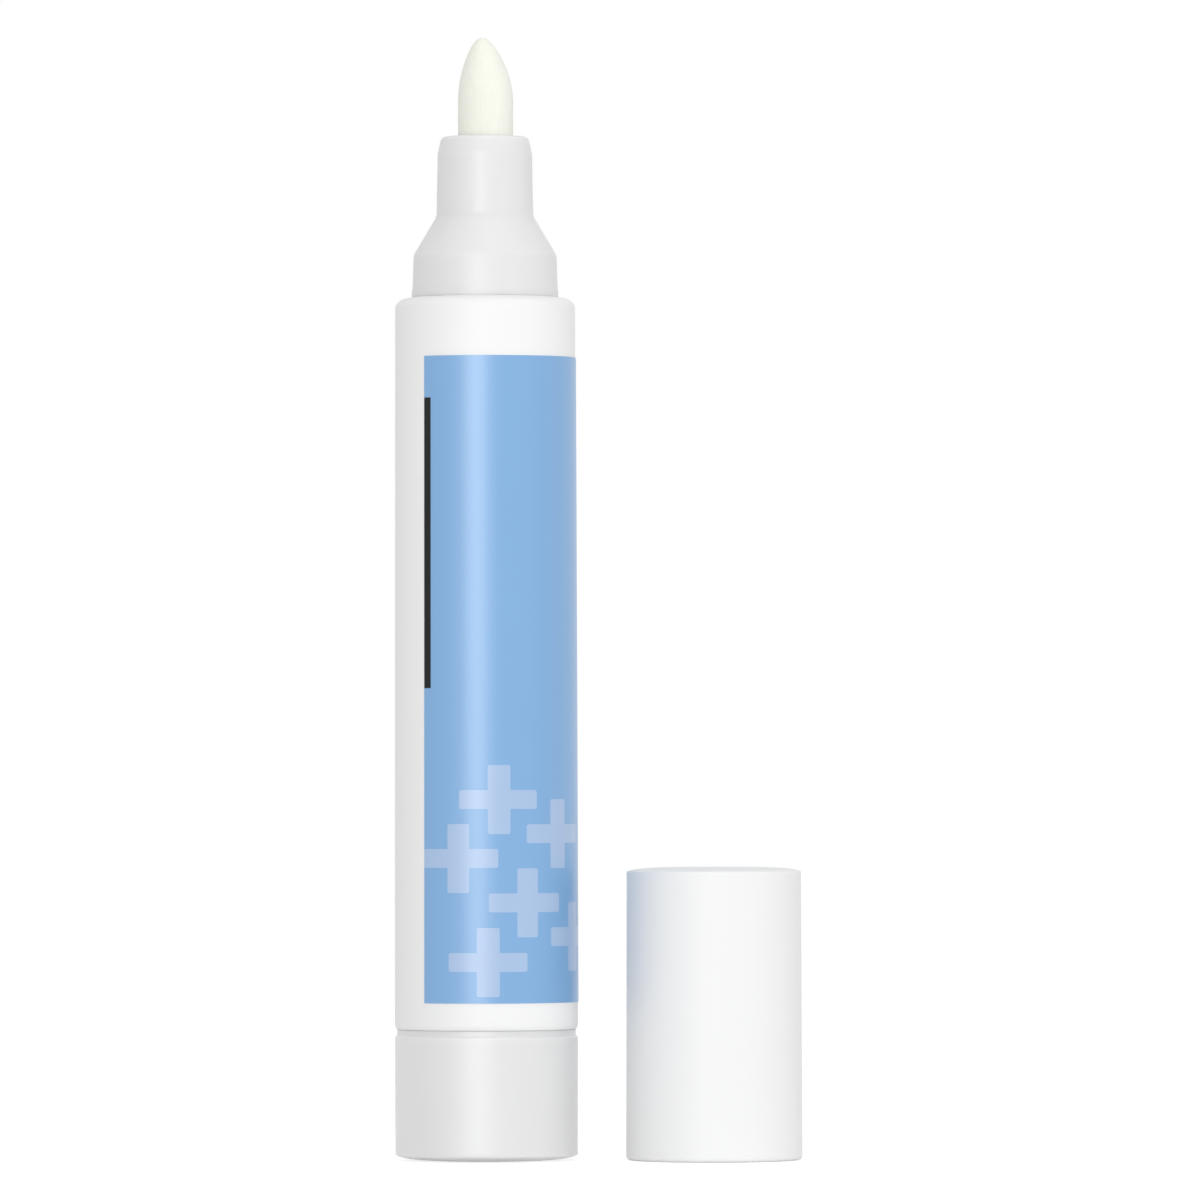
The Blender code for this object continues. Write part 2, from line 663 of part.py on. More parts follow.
def build_ratchet_sleeve(material):
    """The sleeve pressed into the barrel: a bearing lip, ratchet teeth, and a seat for the nut."""
    corners = [
        (RATCHET_ROOT_RADIUS, RATCHET_TOP, 0),
        (PRESSED_RADIUS, RATCHET_TOP, 0),
        (PRESSED_RADIUS, RATCHET_FOOT, 0),
        (DRIVER_RADIUS + RUN_GAP, RATCHET_FOOT, 0),
        (DRIVER_RADIUS + RUN_GAP, RATCHET_LIP_TOP, 0),
        (RATCHET_TIP_RADIUS, RATCHET_LIP_TOP, 0),
        (RATCHET_TIP_RADIUS, RATCHET_TEETH_TOP, 0),
        (RATCHET_ROOT_RADIUS, RATCHET_TEETH_TOP, 0),
    ]
    sleeve = turned("ratchet_sleeve", rounded(corners, closed=True), OUTER_STEPS, closed=True)
    pitch_deg = 360 / RATCHET_TEETH
    outline = []
    for tooth in range(RATCHET_TEETH):
        outline.append(polar(RATCHET_ROOT_RADIUS, tooth * pitch_deg))
        ramp_end_deg = (tooth + RATCHET_RAMP_SHARE) * pitch_deg
        outline.append(polar(RATCHET_TIP_RADIUS - RUN_GAP, ramp_end_deg))
    teeth = prism("ratchet_teeth", outline, RATCHET_LIP_TOP, RATCHET_TEETH_TOP + CUT_OVERRUN)
    combine(sleeve, "DIFFERENCE", teeth)
    finish(sleeve, material)


def slice_off(shape, point, outward):
    """Cuts off what lies beyond a plane, and closes the cut with a flat face."""
    everything = list(shape.verts) + list(shape.edges) + list(shape.faces)
    cut = bmesh.ops.bisect_plane(
        shape, geom=everything, dist=0, plane_co=point, plane_no=outward, clear_outer=True
    )
    rim = [item for item in cut["geom_cut"] if isinstance(item, bmesh.types.BMEdge)]
    bmesh.ops.triangle_fill(shape, edges=rim, use_beauty=True)


def threaded_rod(name, foot, top, gap, half_flat=None):
    """Adds a rod with the spindle's thread, wider by a gap all over, and with two flats if asked.

    The outline runs down one lead, over each start's crest, and is wound up in whole turns.
    """
    pitch = SPINDLE_LEAD / SPINDLE_THREAD_STARTS
    crest_half = pitch * SPINDLE_CREST_SHARE / 2 + gap
    base_half = pitch * SPINDLE_BASE_SHARE / 2 + gap
    core_radius = SPINDLE_RADIUS - SPINDLE_THREAD_DEPTH + gap
    crest_radius = SPINDLE_RADIUS + gap
    outline = [(core_radius, SPINDLE_LEAD)]
    for start in reversed(range(SPINDLE_THREAD_STARTS)):
        middle = (start + 0.5) * pitch
        outline += [
            (core_radius, middle + base_half),
            (crest_radius, middle + crest_half),
            (crest_radius, middle - crest_half),
            (core_radius, middle - base_half),
        ]
    outline.append((core_radius, 0))
    mesh = bpy.data.meshes.new(name)
    mesh.from_pydata(
        [(radius, 0.0, foot - SPINDLE_LEAD + height) for radius, height in outline],
        [(index, index + 1) for index in range(len(outline) - 1)],
        [],
    )
    guide = add_object(name + "_outline", mesh)
    screw = guide.modifiers.new("Wind", "SCREW")
    screw.screw_offset = SPINDLE_LEAD
    screw.iterations = math.ceil((top - foot) / SPINDLE_LEAD) + 2
    screw.steps = THREAD_STEPS
    screw.render_steps = THREAD_STEPS
    screw.use_merge_vertices = False
    shape = evaluated_shape(guide)
    slice_off(shape, (0, 0, top), (0, 0, 1))
    slice_off(shape, (0, 0, foot), (0, 0, -1))
    if half_flat:
        slice_off(shape, (0, half_flat, 0), (0, 1, 0))
        slice_off(shape, (0, -half_flat, 0), (0, -1, 0))
    return replace_guide(guide, name, shape)


def build_spindle(material, axis):
    """The threaded rod with two flats, and a button head that turns inside the piston."""
    thread_top = NUT_TOP + PISTON_REST_GAP
    spindle = threaded_rod("spindle", SPINDLE_FOOT, thread_top, 0, SPINDLE_HALF_FLAT)
    head_foot = head_socket_foot() + SEAT_GAP
    head_top = head_foot + SPINDLE_HEAD_HEIGHT
    head = turned(
        "spindle_head",
        rounded(
            [
                (0, head_top, 0),
                (SPINDLE_HEAD_RADIUS, head_top, SPINDLE_HEAD_FILLET),
                (SPINDLE_HEAD_RADIUS, head_foot, 0),
                (SPINDLE_NECK_RADIUS, head_foot, 0),
                (SPINDLE_NECK_RADIUS, thread_top - SPINDLE_THREAD_DEPTH, 0),
                (0, thread_top - SPINDLE_THREAD_DEPTH, 0),
            ]
        ),
        INNER_STEPS,
    )
    combine(spindle, "UNION", head)
    finish(spindle, material, axis)


def head_socket_foot():
    """Returns the height of the piston's lip, above which the spindle's head turns."""
    return PISTON_FOOT + PISTON_HUB_INSET + PISTON_LIP_HEIGHT


def build_spindle_nut(material):
    """The fixed nut: a skirt in the barrel, a web against the bore's step, and a threaded hub."""
    skirt_inner = PRESSED_RADIUS - NUT_SKIRT_WALL
    web_foot = NUT_TOP - NUT_WEB_THICKNESS
    corners = [
        (0, NUT_TOP, 0),
        (PRESSED_RADIUS, NUT_TOP, 0),
        (PRESSED_RADIUS, NUT_FOOT, 0),
        (skirt_inner, NUT_FOOT, 0),
        (skirt_inner, web_foot, 0),
        (NUT_HUB_RADIUS, web_foot, 0),
        (NUT_HUB_RADIUS, NUT_FOOT, 0),
        (0, NUT_FOOT, 0),
    ]
    nut = turned("spindle_nut", rounded(corners), OUTER_STEPS)
    turns_below = math.floor((NUT_FOOT - CUT_OVERRUN - SPINDLE_FOOT) / SPINDLE_LEAD)
    thread_foot = SPINDLE_FOOT + turns_below * SPINDLE_LEAD
    cutter = threaded_rod("nut_thread", thread_foot, NUT_TOP + CUT_OVERRUN, THREAD_GAP)
    combine(nut, "DIFFERENCE", cutter)
    finish(nut, material)


def groove(radius, cord_radius, bore_radius, height):
    """Returns the corners of a seal ring's groove, down a wall of this radius."""
    half_width = cord_radius + SEAT_GAP
    floor = bore_radius - SEAL_GAP - 2 * cord_radius - SEAL_GAP
    return [
        (radius, height + half_width, 0),
        (floor, height + half_width, 0),
        (floor, height - half_width, 0),
        (radius, height - half_width, 0),
    ]


def build_seal_ring(name, material, bore_radius, cord_radius, height, steps, axis=None):
    """One round seal ring that fills the gap between its groove and the bore."""
    radius = bore_radius - SEAL_GAP - cord_radius
    ring = turned(name, ring_outline(radius, height, cord_radius), steps, closed=True)
    finish(ring, material, axis)


def build_piston(material, seal_material, axis):
    """The piston: a crown, two grooves with their seal rings, and a socket for the head."""
    radius = RESERVOIR_RADIUS - RUN_GAP
    cavity_radius = radius - 2 * PISTON_SEAL_CORD_RADIUS - PISTON_WALL
    crown_foot = PISTON_TOP - PISTON_CROWN_THICKNESS
    hub_foot = PISTON_FOOT + PISTON_HUB_INSET
    mouth_radius = SPINDLE_NECK_RADIUS + RUN_GAP
    socket_radius = SPINDLE_HEAD_RADIUS + RUN_GAP
    socket_foot = head_socket_foot()
    socket_top = socket_foot + SEAT_GAP + SPINDLE_HEAD_HEIGHT + RUN_GAP
    seal_heights = {
        "piston_front_seal": PISTON_FOOT + PISTON_LENGTH * PISTON_FRONT_SEAL_SHARE,
        "piston_rear_seal": PISTON_FOOT + PISTON_LENGTH * PISTON_REAR_SEAL_SHARE,
    }
    corners = [
        (0, PISTON_TOP, 0),
        (radius - PISTON_EDGE_CHAMFER, PISTON_TOP, 0),
        (radius, PISTON_TOP - PISTON_EDGE_CHAMFER, 0),
    ]
    for height in seal_heights.values():
        corners += groove(radius, PISTON_SEAL_CORD_RADIUS, RESERVOIR_RADIUS, height)
    corners += [
        (radius, PISTON_FOOT, 0),
        (cavity_radius, PISTON_FOOT, 0),
        (cavity_radius, crown_foot, 0),
        (PISTON_HUB_RADIUS, crown_foot, 0),
        (PISTON_HUB_RADIUS, hub_foot, 0),
        (mouth_radius, hub_foot, 0),
        (mouth_radius, socket_foot, 0),
        (socket_radius, socket_foot, 0),
        (socket_radius, socket_top, 0),
        (0, socket_top, 0),
    ]
    piston = turned("piston", rounded(corners), INNER_STEPS)
    finish(piston, material, axis)
    for name, height in seal_heights.items():
        build_seal_ring(
            name,
            seal_material,
            RESERVOIR_RADIUS,
            PISTON_SEAL_CORD_RADIUS,
            height,
            INNER_STEPS,
            axis,
        )


def nozzle_cavity_radius():
    """Returns the radius of the hollow inside the nozzle's plug."""
    groove_floor = SOCKET_RADIUS - 2 * SEAL_GAP - 2 * NOZZLE_SEAL_CORD_RADIUS
    return groove_floor - NOZZLE_CAVITY_WALL


def build_nozzle(material, seal_material):
    """The front section: neck, cone and collar, over a plug with its seal ring."""
    cavity_radius = nozzle_cavity_radius()
    neck_foot_radius = NOZZLE_NECK_RADIUS + NOZZLE_NECK_DRAFT
    rim_radius = COLLAR_RADIUS + NOZZLE_RIM_WIDTH
    rim_top = BARREL_TOP + SEAT_GAP + NOZZLE_RIM_HEIGHT
    seal_height = BARREL_TOP - NOZZLE_PLUG_LENGTH / 2
    corners = [
        (NOZZLE_BORE_RADIUS, NECK_TOP, 0),
        (NOZZLE_NECK_RADIUS - NOZZLE_LEAD_IN_WIDTH, NECK_TOP, NOZZLE_LIP_FILLET),
        (NOZZLE_NECK_RADIUS, NECK_TOP - NOZZLE_LEAD_IN_HEIGHT, NOZZLE_LIP_FILLET),
        (neck_foot_radius, CONE_TOP, 0),
        (COLLAR_RADIUS - NOZZLE_COLLAR_DRAFT, COLLAR_TOP, NOZZLE_CONE_FILLET),
        (COLLAR_RADIUS, rim_top, 0),
        (rim_radius, rim_top, 0),
        (rim_radius, BARREL_TOP + SEAT_GAP, 0),
        (NOZZLE_PLUG_RADIUS, BARREL_TOP + SEAT_GAP, 0),
    ]
    corners += groove(NOZZLE_PLUG_RADIUS, NOZZLE_SEAL_CORD_RADIUS, SOCKET_RADIUS, seal_height)
    corners += [
        (NOZZLE_PLUG_RADIUS, NOZZLE_PLUG_END + NOZZLE_PLUG_CHAMFER, 0),
        (NOZZLE_PLUG_RADIUS - NOZZLE_PLUG_CHAMFER, NOZZLE_PLUG_END, 0),
        (cavity_radius, NOZZLE_PLUG_END, 0),
        (cavity_radius, NOZZLE_BORE_END - NOZZLE_CAVITY_TAPER, 0),
        (NOZZLE_BORE_RADIUS, NOZZLE_BORE_END, 0),
    ]
    nozzle = turned("nozzle", rounded(corners, closed=True), OUTER_STEPS, closed=True)
    finish(nozzle, material)
    build_seal_ring(
        "nozzle_seal",
        seal_material,
        SOCKET_RADIUS,
        NOZZLE_SEAL_CORD_RADIUS,
        seal_height,
        OUTER_STEPS,
    )


def build_feed_plug(material):
    """The plug behind the nib: a disc in the nozzle's hollow and a stem, with a fine channel."""
    disc_radius = nozzle_cavity_radius() - SEAT_GAP
    disc_foot = NOZZLE_PLUG_END + FEED_DISC_INSET
    disc_top = disc_foot + FEED_DISC_HEIGHT
    stem_radius = NOZZLE_BORE_RADIUS - SEAT_GAP
    stem_top = NIB_END - SEAT_GAP
    corners = [
        (FEED_CHANNEL_RADIUS, stem_top, 0),
        (stem_radius, stem_top, 0),
        (stem_radius, disc_top, 0),
        (disc_radius, disc_top, 0),
        (disc_radius, disc_foot, 0),
        (FEED_CHANNEL_RADIUS, disc_foot, 0),
    ]
    plug = turned("feed_plug", rounded(corners, closed=True), INNER_STEPS, closed=True)
    finish(plug, material)


def build_felt_nib(material):
    """The fibre point: a round rod with a bullet tip, seated deep in the neck."""
    corners = [
        (0, NIB_TIP, 0),
        (NIB_TIP_RADIUS, NIB_TIP, NIB_TIP_FILLET),
        (NIB_RADIUS, NIB_TIP - NIB_POINT_LENGTH, NIB_SHOULDER_FILLET),
        (NIB_RADIUS, NIB_END + NIB_END_CHAMFER, 0),
        (NIB_RADIUS - NIB_END_CHAMFER, NIB_END, 0),
        (0, NIB_END, 0),
    ]
    nib = turned("felt_nib", rounded(corners), INNER_STEPS)
    finish(nib, material)


def build_cap_shell(material, axis):
    """The cap: a crowned cup, mouth down, with a narrower bore that holds the liner."""
    top_radius = CAP_FOOT_RADIUS - CAP_DRAFT
    lid = crown(CAP_PAD_RADIUS, top_radius, CAP_CROWN_RISE)
    outline = [Vector((0, CAP_HEIGHT))]
    outline += [Vector((radius, CAP_HEIGHT - drop)) for radius, drop in lid]
    skirt = [
        (top_radius, CAP_HEIGHT - CAP_CROWN_RISE, 0),
        (CAP_FOOT_RADIUS, 0, CAP_RIM_FILLET),
        (CAP_BORE_RADIUS, 0, 0),
        (CAP_BORE_RADIUS, LINER_FOOT - SEAT_GAP, 0),
        (LINER_RADIUS + SEAT_GAP, LINER_FOOT - SEAT_GAP, 0),
        (LINER_RADIUS + SEAT_GAP, CAP_BORE_TOP, 0),
        (0, CAP_BORE_TOP, 0),
    ]
    outline += rounded(skirt)[1:]
    shell = turned("cap_shell", outline, OUTER_STEPS)
    finish(shell, material, axis)


def build_cap_liner(material, axis):
    """The seal cup in the cap: a wide bore for the nozzle's neck, and a chamber for the nib."""
    nib_bore = NIB_RADIUS + LINER_NIB_CLEARANCE
    corners = [
        (0, LINER_TOP, 0),
        (LINER_RADIUS, LINER_TOP, 0),
        (LINER_RADIUS, LINER_FOOT, 0),
        (LINER_NECK_RADIUS + LINER_LEAD_IN, LINER_FOOT, 0),
        (LINER_NECK_RADIUS, LINER_FOOT + LINER_LEAD_IN, 0),
        (LINER_NECK_RADIUS, LINER_NECK_TOP, 0),
        (nib_bore, LINER_NECK_TOP, 0),
        (nib_bore, LINER_NIB_TOP, 0),
        (0, LINER_NIB_TOP, 0),
    ]
    liner = turned("cap_liner", rounded(corners), OUTER_STEPS)
    finish(liner, material, axis)


def main():
    """Builds the pen and its cap."""
    clear_scene()
    add_collection(COLLECTION_NAME)
    cutters = add_collection(CUTTER_COLLECTION_NAME)
    white = plastic("white_polypropylene", (0.86, 0.87, 0.88), 0.35)
    natural = plastic("natural_polypropylene", (0.74, 0.745, 0.75), 0.45)
    blue = plastic("blue_label_film", (0.24, 0.44, 0.71), 0.30)
    felt = plastic("polyester_felt", (0.90, 0.92, 0.84), 0.90)
    inner = plastic("inner_polypropylene", (0.80, 0.80, 0.78), 0.50)
    acetal = plastic("white_acetal", (0.88, 0.88, 0.86), 0.40)
    soft = plastic("soft_polyethylene", (0.82, 0.84, 0.84), 0.55)
    rubber = plastic("clear_silicone_rubber", (0.62, 0.62, 0.60), 0.60)

    knob_axis = add_axis("knob_axis", (0, 0, 0))
    spindle_axis = add_axis("spindle_axis", (0, 0, 0), knob_axis)
    piston_axis = add_axis("piston_axis", (0, 0, 0))
    cap_axis = add_axis("cap_axis", (CAP_DISTANCE, 0, 0))

    build_barrel(white)
    build_label(blue)
    build_nozzle(natural, rubber)
    build_feed_plug(inner)
    build_felt_nib(felt)
    build_ratchet_sleeve(inner)
    build_spindle_nut(inner)
    build_knob(natural, knob_axis)
    build_driver_sleeve(acetal, knob_axis)
    build_pawl_ring(acetal, knob_axis)
    build_spindle(acetal, spindle_axis)
    build_piston(soft, rubber, piston_axis)
    build_cap_shell(white, cap_axis)
    build_cap_liner(soft, cap_axis)
    cutters.hide_render = True


main()
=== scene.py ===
"""Dresses a twist-up nail care pen: fine meshes, finishes, and a plain studio round it.

Sizes are in metres. The pen stands on its knob with its axis on Z, the front of its label faces
-Y, and its cap stands beside it towards +X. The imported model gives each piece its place.
"""

import json
import logging
import math
from collections.abc import Callable, Mapping, Sequence
from dataclasses import dataclass
from enum import Enum
from itertools import pairwise

import bmesh
import bpy
from mathutils import Euler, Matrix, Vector

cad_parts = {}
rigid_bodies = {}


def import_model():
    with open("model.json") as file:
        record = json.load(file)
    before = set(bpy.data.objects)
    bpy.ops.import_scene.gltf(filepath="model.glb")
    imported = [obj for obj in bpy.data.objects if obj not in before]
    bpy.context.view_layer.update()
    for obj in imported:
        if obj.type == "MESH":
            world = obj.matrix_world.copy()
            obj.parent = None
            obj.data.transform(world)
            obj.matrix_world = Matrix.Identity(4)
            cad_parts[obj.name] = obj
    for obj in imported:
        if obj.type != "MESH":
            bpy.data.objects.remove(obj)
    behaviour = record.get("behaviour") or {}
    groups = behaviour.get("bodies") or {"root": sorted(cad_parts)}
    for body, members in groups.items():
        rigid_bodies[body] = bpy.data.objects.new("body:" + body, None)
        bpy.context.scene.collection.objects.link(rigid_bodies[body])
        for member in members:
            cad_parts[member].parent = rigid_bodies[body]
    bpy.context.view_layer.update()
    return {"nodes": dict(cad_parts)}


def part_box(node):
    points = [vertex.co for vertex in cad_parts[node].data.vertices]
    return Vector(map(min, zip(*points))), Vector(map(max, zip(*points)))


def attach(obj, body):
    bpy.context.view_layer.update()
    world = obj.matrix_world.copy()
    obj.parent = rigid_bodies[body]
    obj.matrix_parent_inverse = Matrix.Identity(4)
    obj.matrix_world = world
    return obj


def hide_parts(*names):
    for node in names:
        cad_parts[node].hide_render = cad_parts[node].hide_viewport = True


LOG = logging.getLogger("nail_care_pen")
FILM_MAP = "film"

Colour = tuple[float, float, float]
Place = tuple[float, float, float]

# Facets and shading of round shapes
ROUND_STEPS = 144
FILLET_STEPS = 5
CROWN_STEPS = 16
ROUND_PROFILE = 0.5
SMOOTH_ANGLE_DEG = 32.0

MERGE_DISTANCE = 0.0000005
SEAT_GAP = 0.0001

# A straight wall has a ring this far from each of its bends, so that only the bend is shaded round
SUPPORT_GAP = 0.0003

# The Mix node's colour sockets, by number, because their names are shared
MIX_SHARE, MIX_A, MIX_B, MIX_RESULT = 0, 6, 7, 2

# The same on all axes, or in all colours
EVEN = (1.0, 1.0, 1.0)


class Body(Enum):
    """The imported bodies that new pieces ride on."""

    PEN = "pen_body"
    DRIVE = "knob_drive"
    CAP = "cap"


class Slot(Enum):
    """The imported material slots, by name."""

    WHITE_SHELL = "white_shell"
    NATURAL_SHELL = "natural_shell"
    LABEL_FILM = "label_film"
    FELT = "felt"
    SOFT_PLASTIC = "soft_plastic"


class NodeSheet:
    """Adds nodes to one shader tree."""

    def __init__(self, tree: bpy.types.NodeTree) -> None:
        """Clears a shader tree, to fill it."""
        self.tree = tree
        tree.nodes.clear()

    def add(
        self,
        kind: str,
        settings: Mapping[str, object] | None = None,
        inputs: Mapping[str | int, object] | None = None,
    ) -> bpy.types.Node:
        """Adds one node.

        Args:
            kind: The node's type.
            settings: Its own settings, which are set before its sockets.
            inputs: Numbers, colours, values or sockets for its inputs, by name or number.

        Returns:
            The new node.
        """
        node = self.tree.nodes.new(kind)
        for name, setting in (settings or {}).items():
            setattr(node, name, setting)
        for name, given in (inputs or {}).items():
            socket = node.inputs[name]
            if isinstance(given, Value):
                self.tree.links.new(given.socket, socket)
            elif isinstance(given, bpy.types.NodeSocket):
                self.tree.links.new(given, socket)
            elif isinstance(given, tuple) and len(given) == 3 and socket.type == "RGBA":
                socket.default_value = (*given, 1.0)
            else:
                socket.default_value = given
        return node

    def value(self, node: bpy.types.Node, output: str | int = 0) -> "Value":
        """Returns a node's output as a value for sums."""
        return Value(self, node.outputs[output])

    def mix(self, share: object, colour_a: object, colour_b: object) -> bpy.types.NodeSocket:
        """Returns a blend of two colours: the first at a share of 0, the second at 1."""
        inputs = {MIX_SHARE: share, MIX_A: colour_a, MIX_B: colour_b}
        return self.add("ShaderNodeMix", {"data_type": "RGBA"}, inputs).outputs[MIX_RESULT]

    def object_place(self, stretch: Place = EVEN) -> bpy.types.NodeSocket:
        """Adds the nodes that read the place on the piece.

        Args:
            stretch: Scale along X, Y and Z, smaller to draw a pattern out.

        Returns:
            The place, scaled along each axis.
        """
        coordinate = self.add("ShaderNodeTexCoord")
        inputs = {"Vector": coordinate.outputs["Object"], "Scale": stretch}
        return self.add("ShaderNodeMapping", None, inputs).outputs[0]

    def noise(self, place: bpy.types.NodeSocket, size: float, layers: float = 2.0) -> "Value":
        """Returns clouds from 0 to 1, about as wide as size, with some finer layers."""
        inputs = {"Vector": place, "Scale": 1.0 / size, "Detail": layers}
        return self.value(self.add("ShaderNodeTexNoise", None, inputs), "Fac")

    def bump(self, height: "Value", depth: float, strength: float = 1.0) -> bpy.types.NodeSocket:
        """Returns a normal that follows a height, where 1 stands depth metres out."""
        inputs = {"Strength": strength, "Distance": depth, "Height": height}
        return self.add("ShaderNodeBump", None, inputs).outputs[0]

    def principled(self, inputs: Mapping[str, object]) -> None:
        """Adds the Principled shader with its inputs, and the material's output."""
        shader = self.add("ShaderNodeBsdfPrincipled", None, inputs)
        self.add("ShaderNodeOutputMaterial", None, {"Surface": shader.outputs[0]})


class Value:
    """A number that varies over a surface. A sum on it adds Math nodes."""

    def __init__(self, sheet: NodeSheet, socket: bpy.types.NodeSocket) -> None:
        """Wraps a node's output."""
        self.sheet = sheet
        self.socket = socket

    def calculate(self, operation: str, *operands: "Value | float") -> "Value":
        """Returns what one Math node makes of its operands."""
        inputs = dict(enumerate(operands))
        return self.sheet.value(self.sheet.add("ShaderNodeMath", {"operation": operation}, inputs))

    def centred(self) -> "Value":
        """Returns a pattern from 0 to 1 moved to swing evenly round 0."""
        return self - 0.5

    def __add__(self, other: "Value | float") -> "Value":
        """Returns the sum."""
        return self.calculate("ADD", self, other)

    __radd__ = __add__

    def __mul__(self, other: "Value | float") -> "Value":
        """Returns the product."""
        return self.calculate("MULTIPLY", self, other)

    __rmul__ = __mul__

    def __sub__(self, other: "Value | float") -> "Value":
        """Returns the difference."""
        return self.calculate("SUBTRACT", self, other)

    def __rsub__(self, other: float) -> "Value":
        """Returns the difference from a number."""
        return self.calculate("SUBTRACT", other, self)

    def __truediv__(self, other: "Value | float") -> "Value":
        """Returns the quotient."""
        return self.calculate("DIVIDE", self, other)

    def __pow__(self, other: float) -> "Value":
        """Returns the power."""
        return self.calculate("POWER", self, other)

    def __abs__(self) -> "Value":
        """Returns the size without its sign."""
        return self.calculate("ABSOLUTE", self)

    def at_least(self, other: "Value | float") -> "Value":
        """Returns the larger of the two."""
        return self.calculate("MAXIMUM", self, other)

    def at_most(self, other: "Value | float") -> "Value":
        """Returns the smaller of the two."""
        return self.calculate("MINIMUM", self, other)


def new_material(name: str) -> tuple[bpy.types.Material, NodeSheet]:
    """Starts a material.

    Args:
        name: Its name.

    Returns:
        The material, and the sheet of its nodes.
    """
    material = bpy.data.materials.new(name)
    material.use_nodes = True
    return material, NodeSheet(material.node_tree)


@dataclass(frozen=True)
class MouldedPlastic:
    """A moulded plastic, with faint clouds, flow marks and a fine grain.

    Attributes:
        cloud_share: How far the clouds and flow marks darken it.
        gloss: The shader's specular level.
        depth: How much light goes under the surface.
        scatter: How far that light spreads.
        coat: How much of the glossy skin shows.
        flow_share: How much of the darkening is flow marks.
        flow_stretch: Scale along the pen that draws the flow marks out.
        roughness_spread: How far the grain changes the roughness.
    """

    name: str
    colour: Colour
    roughness: float
    gloss: float = 0.4
    cloud_share: float = 0.02
    depth: float = 0.0
    scatter: float = 0.001
    coat: float = 0.0
    coat_roughness: float = 0.36
    coat_ior: float = 1.88
    grain_depth: float = 0.000004
    grain_size: float = 0.00022
    grain_layers: float = 3.0
    cloud_size: float = 0.009
    flow_size: float = 0.0015
    flow_share: float = 0.4
    flow_stretch: float = 0.08
    roughness_spread: float = 0.08

    def build(self) -> bpy.types.Material:
        """Builds the finish.

        Returns:
            The material.
        """
        material, sheet = new_material(self.name)
        even = sheet.object_place()
        drawn = sheet.object_place((1.0, 1.0, self.flow_stretch))
        clouds = sheet.noise(even, self.cloud_size)
        flow = sheet.noise(drawn, self.flow_size)
        grain = sheet.noise(even, self.grain_size, self.grain_layers)
        darkening = clouds * (1 - self.flow_share) + flow * self.flow_share
        dark = tuple(channel * (1 - self.cloud_share) for channel in self.colour)
        sheet.principled(
            {
                "Base Color": sheet.mix(darkening, self.colour, dark),
                "Roughness": self.roughness + self.roughness_spread * grain.centred(),
                "Specular IOR Level": self.gloss,
                "Subsurface Weight": self.depth,
                "Subsurface Scale": self.scatter,
                "Subsurface Radius": EVEN,
                "Coat Weight": self.coat,
                "Coat Roughness": self.coat_roughness,
                "Coat IOR": self.coat_ior,
                "Normal": sheet.bump(grain, self.grain_depth),
            }
        )
        return material


@dataclass(frozen=True)
class PlusSign:
    """Where one plus sign is printed.

    Attributes:
        azimuth_deg: Its middle's angle from the front, to the right.
        height: Its middle's height.
    """

    azimuth_deg: float
    height: float


